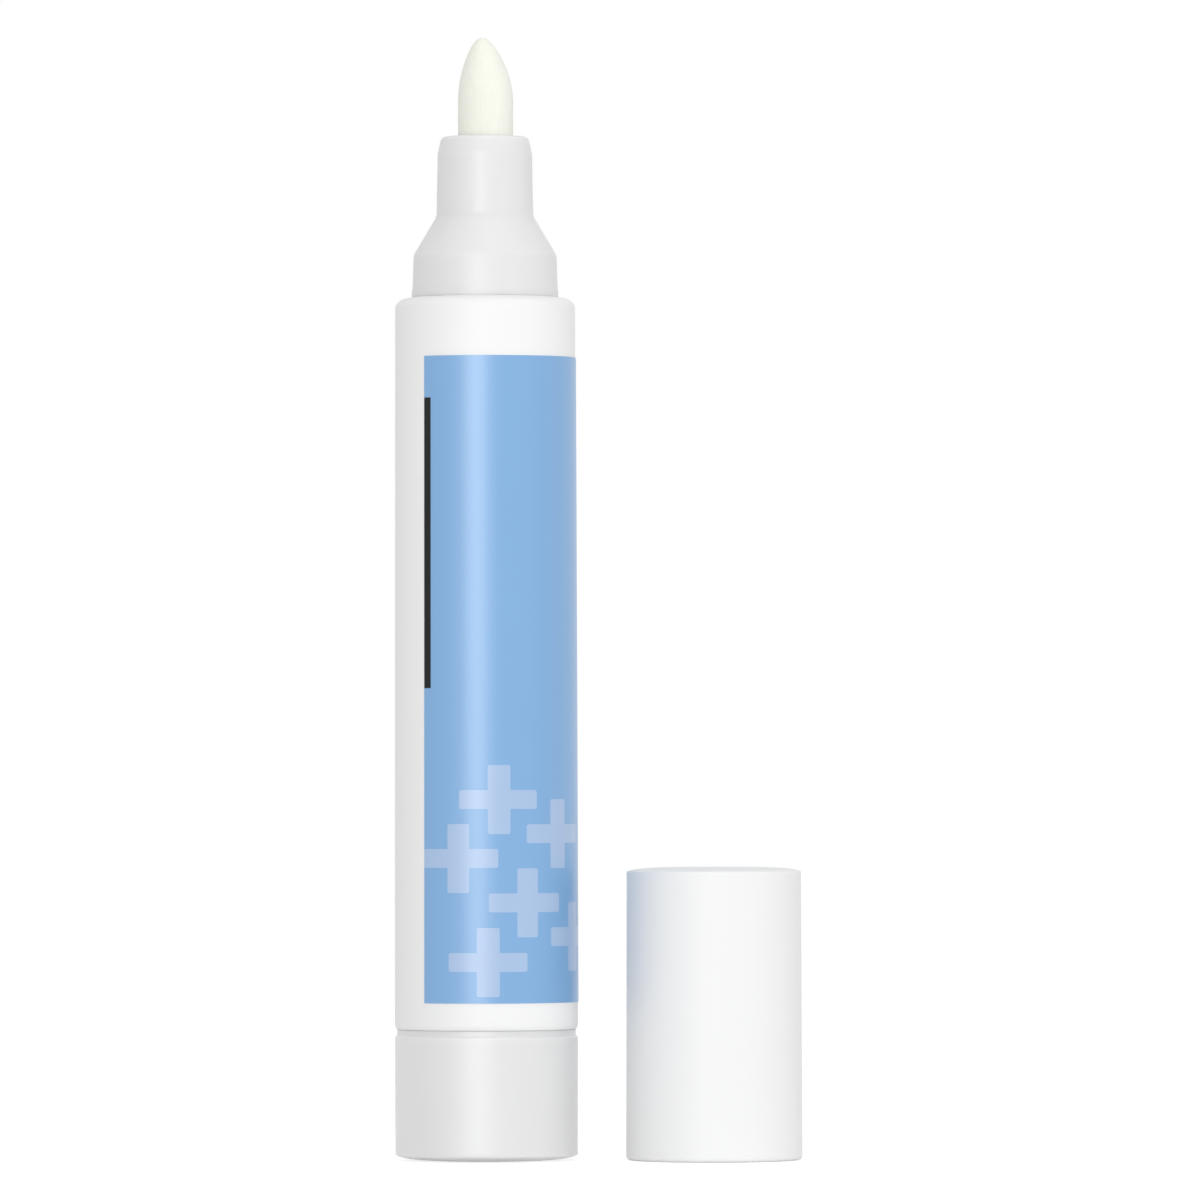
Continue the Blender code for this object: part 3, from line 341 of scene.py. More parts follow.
@dataclass(frozen=True)
class PrintedFilm:
    """The label's film: a blue ground with paler plus signs and a black bar, under a clear coat.

    The print is drawn on the film's UV map, which is in metres: across from the front's middle
    line, and up from the floor.

    Attributes:
        plus_upright: How wide a plus sign's upright stroke is.
        plus_crossbar: How high its level stroke is.
        edge_blur: How wide the soft edge of the print is.
        bar_dullness: How much of the coat is missing on the bar.
    """

    name: str = "printed_film"
    ground: Colour = (0.155, 0.354, 0.635)
    plus: Colour = (0.327, 0.463, 0.685)
    bar: Colour = (0.008, 0.008, 0.009)
    bar_start_deg: float = -41.4
    bar_end_deg: float = -36.1
    bar_foot: float = 0.04285
    bar_top: float = 0.06914
    plus_width: float = 0.0073
    plus_height: float = 0.00623
    plus_upright: float = 0.00207
    plus_crossbar: float = 0.0017
    plus_corner: float = 0.0002
    edge_blur: float = 0.00004
    cloud_share: float = 0.015
    cloud_size: float = 0.012
    roughness: float = 0.42
    roughness_spread: float = 0.06
    grain_size: float = 0.00015
    gloss: float = 0.05
    coat_roughness: float = 0.37
    coat_ior: float = 1.88
    bar_dullness: float = 0.85
    ripple_size: float = 0.006
    ripple_layers: float = 1.0
    ripple_depth: float = 0.00002
    ripple_strength: float = 0.5
    plus_signs: tuple[PlusSign, ...] = (
        PlusSign(8.75, 0.03279),
        PlusSign(51.8, 0.0297),
        PlusSign(-17.0, 0.02748),
        PlusSign(27.35, 0.02347),
        PlusSign(70.2, 0.02038),
        PlusSign(1.8, 0.0181),
    )

    def box_distance(self, across: Value, up: Value, width: float, height: float) -> Value:
        """Measures from a box with rounded corners.

        Args:
            across: Distance from its middle, sideways, without sign.
            up: Distance from its middle, upwards, without sign.
            width: Its width.
            height: Its height.

        Returns:
            The distance from its outline, down to minus a corner's radius inside it.
        """
        corner_x = (across - (width / 2 - self.plus_corner)).at_least(0.0)
        corner_y = (up - (height / 2 - self.plus_corner)).at_least(0.0)
        return (corner_x * corner_x + corner_y * corner_y) ** 0.5 - self.plus_corner

    def coverage(self, distance: Value) -> Value:
        """Returns 1 inside an outline and 0 outside it, with a fine soft edge."""
        return (0.5 - distance / self.edge_blur).at_least(0.0).at_most(1.0)

    def build(self, radius: float) -> bpy.types.Material:
        """Builds the finish.

        Args:
            radius: The film's radius, which turns angles into lengths across it.

        Returns:
            The material.
        """
        material, sheet = new_material(self.name)
        uv = sheet.add("ShaderNodeUVMap", {"uv_map": FILM_MAP})
        split = sheet.add("ShaderNodeSeparateXYZ", None, {"Vector": uv.outputs[0]})
        across, up = sheet.value(split, "X"), sheet.value(split, "Y")
        plus_mask = None
        for sign in self.plus_signs:
            side = abs(across - math.radians(sign.azimuth_deg) * radius)
            rise = abs(up - sign.height)
            upright = self.box_distance(side, rise, self.plus_upright, self.plus_height)
            crossbar = self.box_distance(side, rise, self.plus_width, self.plus_crossbar)
            drawn = self.coverage(upright.at_most(crossbar))
            plus_mask = drawn if plus_mask is None else plus_mask.at_least(drawn)
        bar_left = math.radians(self.bar_start_deg) * radius
        bar_right = math.radians(self.bar_end_deg) * radius
        past_side = (bar_left - across).at_least(across - bar_right)
        past_end = (self.bar_foot - up).at_least(up - self.bar_top)
        bar_mask = self.coverage(past_side.at_least(past_end))
        place = sheet.object_place()
        clouds = sheet.noise(place, self.cloud_size)
        ripple = sheet.noise(place, self.ripple_size, self.ripple_layers)
        grain = sheet.noise(place, self.grain_size)
        deep = tuple(channel * (1 - self.cloud_share) for channel in self.ground)
        printed = sheet.mix(plus_mask, sheet.mix(clouds, self.ground, deep), self.plus)
        sheet.principled(
            {
                "Base Color": sheet.mix(bar_mask, printed, self.bar),
                "Roughness": self.roughness + self.roughness_spread * grain.centred(),
                "Specular IOR Level": self.gloss,
                "Coat Weight": 1 - self.bar_dullness * bar_mask,
                "Coat Roughness": self.coat_roughness,
                "Coat IOR": self.coat_ior,
                "Normal": sheet.bump(ripple, self.ripple_depth, self.ripple_strength),
            }
        )
        return material


@dataclass(frozen=True)
class PressedFelt:
    """The nib's pressed fibres, drawn out along the pen.

    Attributes:
        colour: The colour of the fibres' raised parts.
        painted_hollow_shade: The colour in the low parts of the relief, which is painted shade between the
            fibres.
        fibre_stretch: Scale along the pen that draws the fibres out.
        tuft_share: How much of the relief is tufts, and not fibres.
        scatter_colour: How far light spreads under it in red, green and blue.
        relief_strength: How much of the fibres' depth shows.
    """

    name: str = "pressed_felt"
    colour: Colour = (0.885, 0.90, 0.825)
    painted_hollow_shade: Colour = (0.79, 0.805, 0.715)
    fibre_size: float = 0.00016
    fibre_layers: float = 4.0
    fibre_stretch: float = 0.12
    fibre_depth: float = 0.00003
    tuft_size: float = 0.00064
    tuft_layers: float = 3.0
    tuft_share: float = 0.35
    roughness: float = 0.92
    roughness_spread: float = 0.1
    gloss: float = 0.2
    depth: float = 0.35
    scatter: float = 0.0006
    scatter_colour: Colour = (1.0, 1.0, 0.8)
    sheen: float = 0.25
    sheen_roughness: float = 0.5
    relief_strength: float = 0.8

    def build(self) -> bpy.types.Material:
        """Builds the finish.

        Returns:
            The material.
        """
        material, sheet = new_material(self.name)
        drawn = sheet.object_place((1.0, 1.0, self.fibre_stretch))
        even = sheet.object_place()
        fibres = sheet.noise(drawn, self.fibre_size, self.fibre_layers)
        tufts = sheet.noise(even, self.tuft_size, self.tuft_layers)
        relief = fibres * (1 - self.tuft_share) + tufts * self.tuft_share
        sheet.principled(
            {
                # The low parts of the relief take painted shade between the fibres
                "Base Color": sheet.mix(relief, self.painted_hollow_shade, self.colour),
                "Roughness": self.roughness + self.roughness_spread * tufts.centred(),
                "Specular IOR Level": self.gloss,
                "Subsurface Weight": self.depth,
                "Subsurface Scale": self.scatter,
                "Subsurface Radius": self.scatter_colour,
                "Sheen Weight": self.sheen,
                "Sheen Roughness": self.sheen_roughness,
                "Normal": sheet.bump(relief, self.fibre_depth, self.relief_strength),
            }
        )
        return material


@dataclass(frozen=True)
class Ring:
    """One circle of a turned piece, level and round its axis.

    Attributes:
        radius: Its radius, zero for a point on the axis.
        height: Its height.
        fillet: Radius of the rounding at this corner of the outline, zero for none.
        shift: How far its middle lies from the axis, towards +X.
    """

    radius: float
    height: float
    fillet: float = 0.0
    shift: float = 0.0


def start_piece(name: str) -> bpy.types.Object:
    """Names the primitive that was just added, and puts its place in its mesh.

    Args:
        name: The piece's name.

    Returns:
        The piece, in edit mode with all its edges selected.
    """
    piece = bpy.context.active_object
    piece.name = name
    piece.data.name = name
    bpy.ops.object.transform_apply()
    bpy.ops.object.mode_set(mode="EDIT")
    bpy.ops.mesh.select_mode(type="EDGE")
    bpy.ops.mesh.select_all(action="SELECT")
    return piece


def finish_piece(piece: bpy.types.Object) -> bpy.types.Object:
    """Closes a piece's seams, turns its faces out and shades it.

    Args:
        piece: The piece, in edit mode.

    Returns:
        The piece, in object mode.
    """
    bpy.ops.mesh.select_all(action="SELECT")
    bpy.ops.mesh.remove_doubles(threshold=MERGE_DISTANCE)
    bpy.ops.mesh.normals_make_consistent()
    bpy.ops.object.mode_set(mode="OBJECT")
    bpy.ops.object.shade_smooth_by_angle(angle=math.radians(SMOOTH_ANGLE_DEG))
    return piece


def select_edges(piece: bpy.types.Object, chosen: Callable[[Vector], bool]) -> None:
    """Selects, in edit mode, the edges whose two ends are chosen.

    Args:
        piece: The piece.
        chosen: Says whether a point is on what is wanted.
    """
    bpy.ops.mesh.select_all(action="DESELECT")
    shape = bmesh.from_edit_mesh(piece.data)
    for edge in shape.edges:
        if all(chosen(corner.co) for corner in edge.verts):
            edge.select_set(True)
    bmesh.update_edit_mesh(piece.data)


@dataclass(frozen=True)
class Lathe:
    """Turns outlines into pieces, ring by ring, round one upright axis.

    Attributes:
        axis_x: Where the axis stands.
    """

    axis_x: float = 0.0

    def turn(self, name: str, rings: Sequence[Ring], closed: bool = False) -> bpy.types.Object:
        """Turns one piece.

        Args:
            name: The piece's name.
            rings: Its outline, which starts and ends on the axis unless it is closed.
            closed: Whether the outline's end joins its start, as on a tube.

        Returns:
            The piece.
        """
        round_rings = [ring for ring in rings if ring.radius > 0]
        first, last = round_rings[0], round_rings[-1]
        bpy.ops.object.select_all(action="DESELECT")
        bpy.ops.mesh.primitive_circle_add(
            vertices=ROUND_STEPS,
            radius=first.radius,
            location=(self.axis_x + first.shift, 0.0, first.height),
        )
        piece = start_piece(name)
        for before, after in pairwise(round_rings):
            self.extrude(before, after)
        if closed:
            self.extrude(last, first)
        else:
            self.close_pole(last, rings[-1])
            self.select_ring(piece, first)
            self.close_pole(first, rings[0])
        for index, ring in enumerate(rings):
            if ring.fillet > 0:
                following = rings[(index + 1) % len(rings)]
                self.round_off(piece, rings[index - 1], ring, following)
        return finish_piece(piece)

    def extrude(self, before: Ring, after: Ring) -> None:
        """Extrudes the selected ring to the next one.

        Args:
            before: The selected ring.
            after: The next one.
        """
        step = (after.shift - before.shift, 0.0, after.height - before.height)
        bpy.ops.mesh.extrude_edges_move(TRANSFORM_OT_translate={"value": step})
        growth = after.radius / before.radius
        bpy.ops.transform.resize(
            value=(growth, growth, 1.0),
            center_override=(self.axis_x + after.shift, 0.0, after.height),
        )

    def close_pole(self, rim: Ring, pole: Ring) -> None:
        """Closes the selected ring with a fan of faces round a point on the axis.

        Args:
            rim: The selected ring.
            pole: The point.
        """
        step = (pole.shift - rim.shift, 0.0, pole.height - rim.height)
        bpy.ops.mesh.extrude_edges_move(TRANSFORM_OT_translate={"value": step})
        bpy.ops.mesh.merge(type="CENTER")

    def select_ring(self, piece: bpy.types.Object, ring: Ring) -> None:
        """Selects the edges of one ring.

        Args:
            piece: The piece, in edit mode.
            ring: The ring.
        """

        def on_ring(point: Vector) -> bool:
            """Returns whether a point lies on the ring."""
            reach = math.hypot(point.x - self.axis_x - ring.shift, point.y)
            return math.hypot(reach - ring.radius, point.z - ring.height) < MERGE_DISTANCE

        select_edges(piece, on_ring)

    def round_off(self, piece: bpy.types.Object, before: Ring, ring: Ring, after: Ring) -> None:
        """Rounds the corner at one ring.

        Args:
            piece: The piece, in edit mode.
            before: The ring before the corner.
            ring: The ring at the corner.
            after: The ring after it.
        """
        corner = Vector((ring.radius, ring.height))
        inward = Vector((before.radius, before.height)) - corner
        outward = Vector((after.radius, after.height)) - corner
        reach = ring.fillet / math.tan(inward.angle(outward) / 2)
        self.select_ring(piece, ring)
        bpy.ops.mesh.bevel(
            offset=reach, segments=FILLET_STEPS, profile=ROUND_PROFILE, clamp_overlap=True
        )


def crown(pad_radius: float, radius: float, level: float, rise: float) -> list[Ring]:
    """Lists the rings of a low crown.

    Args:
        pad_radius: Radius of the flat middle.
        radius: Radius of the rim.
        level: Height of the flat middle.
        rise: How far the middle stands out past the rim, negative for a crown that faces down.

    Returns:
        The rings, from the rim to the flat middle.
    """
    rings = []
    for step in range(CROWN_STEPS + 1):
        angle = math.pi / 2 * (1 - step / CROWN_STEPS)
        reach = pad_radius + (radius - pad_radius) * math.sin(angle)
        rings.append(Ring(reach, level - rise * (1 - math.cos(angle))))
    return rings


def present(
    piece: bpy.types.Object, body: Body, slot: Slot, material: bpy.types.Material, *nodes: str
) -> None:
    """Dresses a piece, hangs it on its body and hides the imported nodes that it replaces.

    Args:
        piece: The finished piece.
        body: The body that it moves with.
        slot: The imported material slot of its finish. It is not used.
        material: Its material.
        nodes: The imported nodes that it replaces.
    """
    piece.data.materials.clear()
    piece.data.materials.append(material)
    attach(piece, body.value)
    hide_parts(*nodes)
    LOG.info("%s: %d faces, on %s", piece.name, len(piece.data.polygons), body.value)


@dataclass
class BarrelAssembly:
    """The white tube that holds the liquid, and the printed film round it."""

    ledge_radius: float = 0.00661
    shoulder_rise: float = 0.00095
    foot_edge_width: float = 0.0003
    foot_edge_height: float = 0.0006
    draft: float = 0.00014
    socket_radius: float = 0.00621
    socket_foot: float = 0.0702
    reservoir_radius: float = 0.0070
    rear_bore_radius: float = 0.00715
    rear_bore_top: float = 0.0362
    bore_chamfer: float = 0.0002
    film_gap: float = 0.00001
    film_thickness: float = 0.00006
    film_start_deg: float = -41.4
    film_span_deg: float = 183.9
    film_steps: int = 111

    def __post_init__(self) -> None:
        """Reads the tube's and the film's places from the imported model."""
        low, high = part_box("barrel")
        self.foot, self.top = low.z, high.z
        self.foot_radius = high.x
        self.top_radius = self.foot_radius - self.draft
        film_low, film_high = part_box("label")
        self.film_foot, self.film_top = film_low.z, film_high.z

    def radius_at(self, height: float) -> float:
        """Returns the tube's outer radius at a height."""
        return self.foot_radius - self.draft * (height - self.foot) / (self.top - self.foot)

    def build_tube(self) -> bpy.types.Object:
        """Turns the tube, with its ledge, socket, reservoir and rear bore.

        Returns:
            The tube.
        """
        foot_pad = self.foot_radius - self.foot_edge_width
        rings = [
            Ring(self.socket_radius, self.top),
            *reversed(crown(self.ledge_radius, self.top_radius, self.top, self.shoulder_rise)),
            Ring(self.top_radius, self.top - self.shoulder_rise - SUPPORT_GAP),
            Ring(self.foot_radius, self.foot + self.foot_edge_height + SUPPORT_GAP),
            *crown(foot_pad, self.foot_radius, self.foot, -self.foot_edge_height),
            Ring(self.rear_bore_radius, self.foot, self.bore_chamfer),
            Ring(self.rear_bore_radius, self.rear_bore_top),
            Ring(self.reservoir_radius, self.rear_bore_top),
            Ring(self.reservoir_radius, self.socket_foot),
            Ring(self.socket_radius, self.socket_foot),
        ]
        return Lathe().turn("barrel_tube", rings, closed=True)

    def build_film(self) -> bpy.types.Object:
        """Spins the film's upright section part of the way round the tube.

        Returns:
            The film.
        """
        height = self.film_top - self.film_foot
        middle = (self.film_top + self.film_foot) / 2
        foot_radius = self.radius_at(self.film_foot) + self.film_gap
        top_radius = self.radius_at(self.film_top) + self.film_gap
        section_middle = (foot_radius + self.film_thickness / 2, 0.0, middle)
        bpy.ops.object.select_all(action="DESELECT")
        bpy.ops.mesh.primitive_plane_add(
            size=height, location=section_middle, rotation=(math.pi / 2, 0.0, 0.0)
        )
        film = start_piece("label_print")
        slim = self.film_thickness / height
        bpy.ops.transform.resize(value=(slim, 1.0, 1.0), center_override=section_middle)
        select_edges(film, lambda point: point.z > middle)
        bpy.ops.transform.translate(value=(top_radius - foot_radius, 0.0, 0.0))
        bpy.ops.mesh.select_all(action="SELECT")
        bpy.ops.mesh.spin(
            steps=self.film_steps,
            angle=-math.radians(self.film_span_deg),
            center=(0.0, 0.0, 0.0),
            axis=(0.0, 0.0, 1.0),
        )
        finish_piece(film)
        film.rotation_euler.z = math.radians(self.film_start_deg - 90)
        bpy.ops.object.transform_apply()
        self.map_film(film)
        return film

    def map_film(self, film: bpy.types.Object) -> None:
        """Gives the film its UV map, in metres across from the front and up from the floor.

        Args:
            film: The film.
        """
        layer = film.data.uv_layers.new(name=FILM_MAP)
        for loop in film.data.loops:
            point = film.data.vertices[loop.vertex_index].co
            azimuth = math.atan2(point.x, -point.y)
            layer.data[loop.index].uv = (azimuth * self.foot_radius, point.z)

    def build(self, white: MouldedPlastic, print_finish: PrintedFilm) -> None:
        """Builds and dresses both pieces.

        Args:
            white: The tube's plastic.
            print_finish: The film's finish.
        """
        tube = self.build_tube()
        present(tube, Body.PEN, Slot.WHITE_SHELL, white.build(), "barrel")
        film = self.build_film()
        material = print_finish.build(self.foot_radius)
        present(film, Body.PEN, Slot.LABEL_FILM, material, "label")


@dataclass
class ApplicatorAssembly:
    """The nozzle at the front of the pen, and the felt nib in it.

    Attributes:
        support_gap: How far above and below the cone its support rings stand.
        nib_seat: How far the nib stands off the axis, towards +X.
        nib_lean: How far its tip leans back from there.
    """

    support_gap: float = 0.0006
    rim_width: float = 0.00005
    rim_height: float = 0.0007
    collar_height: float = 0.00385
    collar_draft: float = 0.0001
    collar_fillet: float = 0.0010
    cone_height: float = 0.00355
    cone_foot_fillet: float = 0.0013
    neck_draft: float = 0.00009
    neck_radius: float = 0.0043
    neck_fillet: float = 0.0015
    lead_in_height: float = 0.0016
    lead_in_width: float = 0.00035
    lip_fillet: float = 0.0005
    bore_fillet: float = 0.00018
    plug_radius: float = 0.00611
    plug_length: float = 0.0077
    plug_chamfer: float = 0.0004
    seal_half_width: float = 0.00055
    seal_floor_radius: float = 0.00521
    cavity_radius: float = 0.00441
    cavity_taper: float = 0.0028
    bore_radius: float = 0.00263
    bore_end: float = 0.08305
    nib_radius: float = 0.00253
    nib_point_foot: float = 0.0961
    nib_sharpness: float = 0.24
    nib_seat: float = 0.00007
    nib_lean: float = 0.0003
    nib_point_steps: int = 56
    nib_shaft_steps: int = 24
    nib_end_chamfer: float = 0.0003
    fibre_relief: float = 0.00004
    fibre_size: float = 0.00035
    fibre_layers: int = 2

    def __post_init__(self) -> None:
        """Reads the nozzle's and the nib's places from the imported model."""
        nozzle_low, nozzle_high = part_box("nozzle")
        nib_low, nib_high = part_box("felt_nib")
        self.rim_radius = nozzle_high.x
        self.collar_radius = self.rim_radius - self.rim_width
        self.plug_end, self.lip = nozzle_low.z, nozzle_high.z
        self.barrel_top = self.plug_end + self.plug_length
        self.nib_end, self.nib_tip = nib_low.z, nib_high.z

    def build_nozzle(self) -> bpy.types.Object:
        """Turns the nozzle: neck, cone and collar, and the plug inside the barrel.

        Returns:
            The nozzle.
        """
        collar_top = self.barrel_top + self.collar_height
        cone_top = collar_top + self.cone_height
        rim_top = self.barrel_top + self.rim_height
        seal_middle = self.barrel_top - self.plug_length / 2
        neck_top = self.lip - self.lead_in_height
        neck_foot_radius = self.neck_radius + self.neck_draft
        collar_top_radius = self.collar_radius - self.collar_draft
        rings = [
            Ring(self.bore_radius, self.lip, self.bore_fillet),
            Ring(self.neck_radius - self.lead_in_width, self.lip, self.lip_fillet),
            Ring(self.neck_radius, neck_top, self.neck_fillet),
            Ring(self.neck_radius, neck_top - SUPPORT_GAP),
            Ring(neck_foot_radius, cone_top + self.support_gap),
            Ring(neck_foot_radius, cone_top, self.cone_foot_fillet),
            Ring(collar_top_radius, collar_top, self.collar_fillet),
            Ring(collar_top_radius, collar_top - self.support_gap),
            Ring(self.collar_radius, rim_top),
            Ring(self.rim_radius, rim_top),
            Ring(self.rim_radius, self.barrel_top),
            Ring(self.plug_radius, self.barrel_top),
            Ring(self.plug_radius, seal_middle + self.seal_half_width),
            Ring(self.seal_floor_radius, seal_middle + self.seal_half_width),
            Ring(self.seal_floor_radius, seal_middle - self.seal_half_width),
            Ring(self.plug_radius, seal_middle - self.seal_half_width),
            Ring(self.plug_radius, self.plug_end + self.plug_chamfer),
            Ring(self.plug_radius - self.plug_chamfer, self.plug_end),
            Ring(self.cavity_radius, self.plug_end),
            Ring(self.cavity_radius, self.bore_end - self.cavity_taper),
            Ring(self.bore_radius, self.bore_end),
        ]
        return Lathe().turn("nozzle_shell", rings, closed=True)

    def nib_rings(self) -> list[Ring]:
        """Lists the nib's rings.

        Returns:
            The rings, from its tip down to its hidden end.
        """
        length = self.nib_tip - self.nib_point_foot
        rings = [Ring(0.0, self.nib_tip, shift=self.nib_seat - self.nib_lean)]
        for step in range(1, self.nib_point_steps + 1):
            share = math.cos(math.pi / 2 * step / self.nib_point_steps)
            taper = math.sqrt(1 - share**2) * (1 - self.nib_sharpness * share**2)
            height = self.nib_point_foot + length * share
            shift = self.nib_seat - self.nib_lean * share**2
            rings.append(Ring(self.nib_radius * taper, height, shift=shift))
        shaft = self.nib_point_foot - self.nib_end - self.nib_end_chamfer
        for step in range(1, self.nib_shaft_steps + 1):
            height = self.nib_point_foot - shaft * step / self.nib_shaft_steps
            rings.append(Ring(self.nib_radius, height, shift=self.nib_seat))
        end_radius = self.nib_radius - self.nib_end_chamfer
        rings.append(Ring(end_radius, self.nib_end, shift=self.nib_seat))
        rings.append(Ring(0.0, self.nib_end, shift=self.nib_seat))
        return rings

    def build_nib(self) -> bpy.types.Object:
        """Turns the nib, a leaning point on a round shaft, and roughens it with its fibres.

        Returns:
            The nib.
        """
        nib = Lathe().turn("felt_point", self.nib_rings())
        fibres = bpy.data.textures.new("fibres", "CLOUDS")
        fibres.noise_scale = self.fibre_size
        fibres.noise_depth = self.fibre_layers
        relief = nib.modifiers.new("Fibres", "DISPLACE")
        relief.texture = fibres
        relief.strength = self.fibre_relief
        # From a middle level of 1 the relief only goes inwards
        relief.mid_level = 1.0
        bpy.ops.object.modifier_apply(modifier=relief.name)
        return nib

    def build(self, natural: MouldedPlastic, felt: PressedFelt) -> None:
        """Builds and dresses both pieces.

        Args:
            natural: The nozzle's plastic.
            felt: The nib's finish.
        """
        nozzle = self.build_nozzle()
        present(nozzle, Body.PEN, Slot.NATURAL_SHELL, natural.build(), "nozzle")
        nib = self.build_nib()
        present(nib, Body.PEN, Slot.FELT, felt.build(), "felt_nib")


@dataclass
class KnobAssembly:
    """The end piece that is turned to dose."""

    draft: float = 0.00003
    shoulder: float = 0.0112
    groove_foot: float = 0.01142
    groove_fillet: float = 0.00008
    groove_depth: float = 0.0002
    pad_radius: float = 0.0038
    crown_rise: float = 0.0006
    wall: float = 0.0012
    floor: float = 0.0024
    hub_radius: float = 0.00535
    hub_fillet: float = 0.00015
    land_top: float = 0.01189
    socket_radius: float = 0.0040
    socket_sides: int = 6

    def __post_init__(self) -> None:
        """Reads the knob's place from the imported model."""
        low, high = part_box("knob")
        self.foot = low.z
        self.radius = high.x
        self.hub_top = high.z

    def build_knob(self) -> bpy.types.Object:
        """Turns the knob: a crowned foot, a wall, a land in the groove, and a hub inside.

        Returns:
            The knob.
        """
        foot_radius = self.radius - self.draft
        inner_radius = self.radius - self.wall
        land_radius = self.radius - self.groove_depth
        rings = [
            Ring(0.0, self.hub_top),
            Ring(self.hub_radius, self.hub_top, self.hub_fillet),
            Ring(self.hub_radius, self.floor),
            Ring(inner_radius, self.floor),
            Ring(inner_radius, self.land_top),
            Ring(land_radius, self.land_top),
            Ring(land_radius, self.groove_foot, self.groove_fillet),
            Ring(self.radius, self.shoulder, self.groove_fillet),
            Ring(self.radius, self.shoulder - SUPPORT_GAP),
            Ring(foot_radius, self.foot + self.crown_rise + SUPPORT_GAP),
            *crown(self.pad_radius, foot_radius, self.foot, -self.crown_rise),
            Ring(0.0, self.foot),
        ]
        return Lathe().turn("twist_knob", rings)

    def cut_socket(self, knob: bpy.types.Object) -> None:
        """Cuts the six-sided socket that the driver sleeve is pressed into.

        Args:
            knob: The knob.
        """
        depth = self.hub_top - self.floor
        bpy.ops.object.select_all(action="DESELECT")
        bpy.ops.mesh.primitive_cylinder_add(
            vertices=self.socket_sides,
            radius=self.socket_radius,
            depth=2 * depth,
            location=(0.0, 0.0, self.hub_top),
            rotation=(0.0, 0.0, math.pi / 2),
        )
        cutter = bpy.context.active_object
        bpy.context.view_layer.objects.active = knob
        cut = knob.modifiers.new("Socket", "BOOLEAN")
        cut.object = cutter
        bpy.ops.object.modifier_apply(modifier=cut.name)
        bpy.data.objects.remove(cutter, do_unlink=True)

    def build(self, natural: MouldedPlastic) -> None:
        """Builds and dresses the knob.

        Args:
            natural: The knob's plastic.
        """
        knob = self.build_knob()
        self.cut_socket(knob)
        present(knob, Body.DRIVE, Slot.NATURAL_SHELL, natural.build(), "knob")


@dataclass
class CapAssembly:
    """The pull-off cap, mouth down beside the pen, and its seal cup."""

    axis_x: float = 0.02069
    draft: float = 0.00009
    crown_rise: float = 0.00045
    pad_radius: float = 0.0036
    rim_fillet: float = 0.0004
    bore_radius: float = 0.00676
    bore_chamfer: float = 0.0002
    end_wall: float = 0.00125
    liner_radius: float = 0.00594
    liner_neck_radius: float = 0.00449
    liner_nib_radius: float = 0.00333
    liner_neck_top: float = 0.01515
    liner_nib_top: float = 0.0243
    liner_lead_in: float = 0.0004
    liner_fillet: float = 0.0003
    liner_foot_fillet: float = 0.00015

    def __post_init__(self) -> None:
        """Reads the cap's and the liner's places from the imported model."""
        low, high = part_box("cap_shell")
        liner_low, liner_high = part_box("cap_liner")
        self.mouth, self.top = low.z, high.z
        self.foot_radius = high.x - self.axis_x
        self.liner_foot, self.liner_top = liner_low.z, liner_high.z

    def build_shell(self) -> bpy.types.Object:
        """Turns the cup: a low crown, a plain wall and a rounded rim.

        Returns:
            The cup.
        """
        top_radius = self.foot_radius - self.draft
        seat_radius = self.liner_radius + SEAT_GAP
        ledge = self.liner_foot - SEAT_GAP
        bore_top = self.top - self.end_wall
        lid = crown(self.pad_radius, top_radius, self.top, self.crown_rise)
        rings = [
            Ring(0.0, self.top),
            *reversed(lid),
            Ring(top_radius, self.top - self.crown_rise - SUPPORT_GAP),
            Ring(self.foot_radius, self.mouth + self.rim_fillet + SUPPORT_GAP),
            Ring(self.foot_radius, self.mouth, self.rim_fillet),
            Ring(self.bore_radius, self.mouth, self.bore_chamfer),
            Ring(self.bore_radius, ledge),
            Ring(seat_radius, ledge),
            Ring(seat_radius, bore_top),
            Ring(0.0, bore_top),
        ]
        return Lathe(self.axis_x).turn("cap_cup", rings)

    def build_liner(self) -> bpy.types.Object:
        """Turns the seal cup: a bore for the nozzle's neck and a chamber for the nib.

        Returns:
            The seal cup.
        """
        rings = [
            Ring(0.0, self.liner_top),
            Ring(self.liner_radius, self.liner_top, self.liner_fillet),
            Ring(self.liner_radius, self.liner_foot, self.liner_foot_fillet),
            Ring(self.liner_neck_radius + self.liner_lead_in, self.liner_foot),
            Ring(self.liner_neck_radius, self.liner_foot + self.liner_lead_in),
            Ring(self.liner_neck_radius, self.liner_neck_top),
            Ring(self.liner_nib_radius, self.liner_neck_top, self.liner_fillet),
            Ring(self.liner_nib_radius, self.liner_nib_top, self.liner_fillet),
            Ring(0.0, self.liner_nib_top),
        ]
        return Lathe(self.axis_x).turn("cap_seal_cup", rings)

    def build(self, white: MouldedPlastic, soft: MouldedPlastic) -> None:
        """Builds and dresses both pieces.

        Args:
            white: The cap's plastic.
            soft: The seal cup's plastic.
        """
        shell = self.build_shell()
        present(shell, Body.CAP, Slot.WHITE_SHELL, white.build(), "cap_shell")
        liner = self.build_liner()
        present(liner, Body.CAP, Slot.SOFT_PLASTIC, soft.build(), "cap_liner")


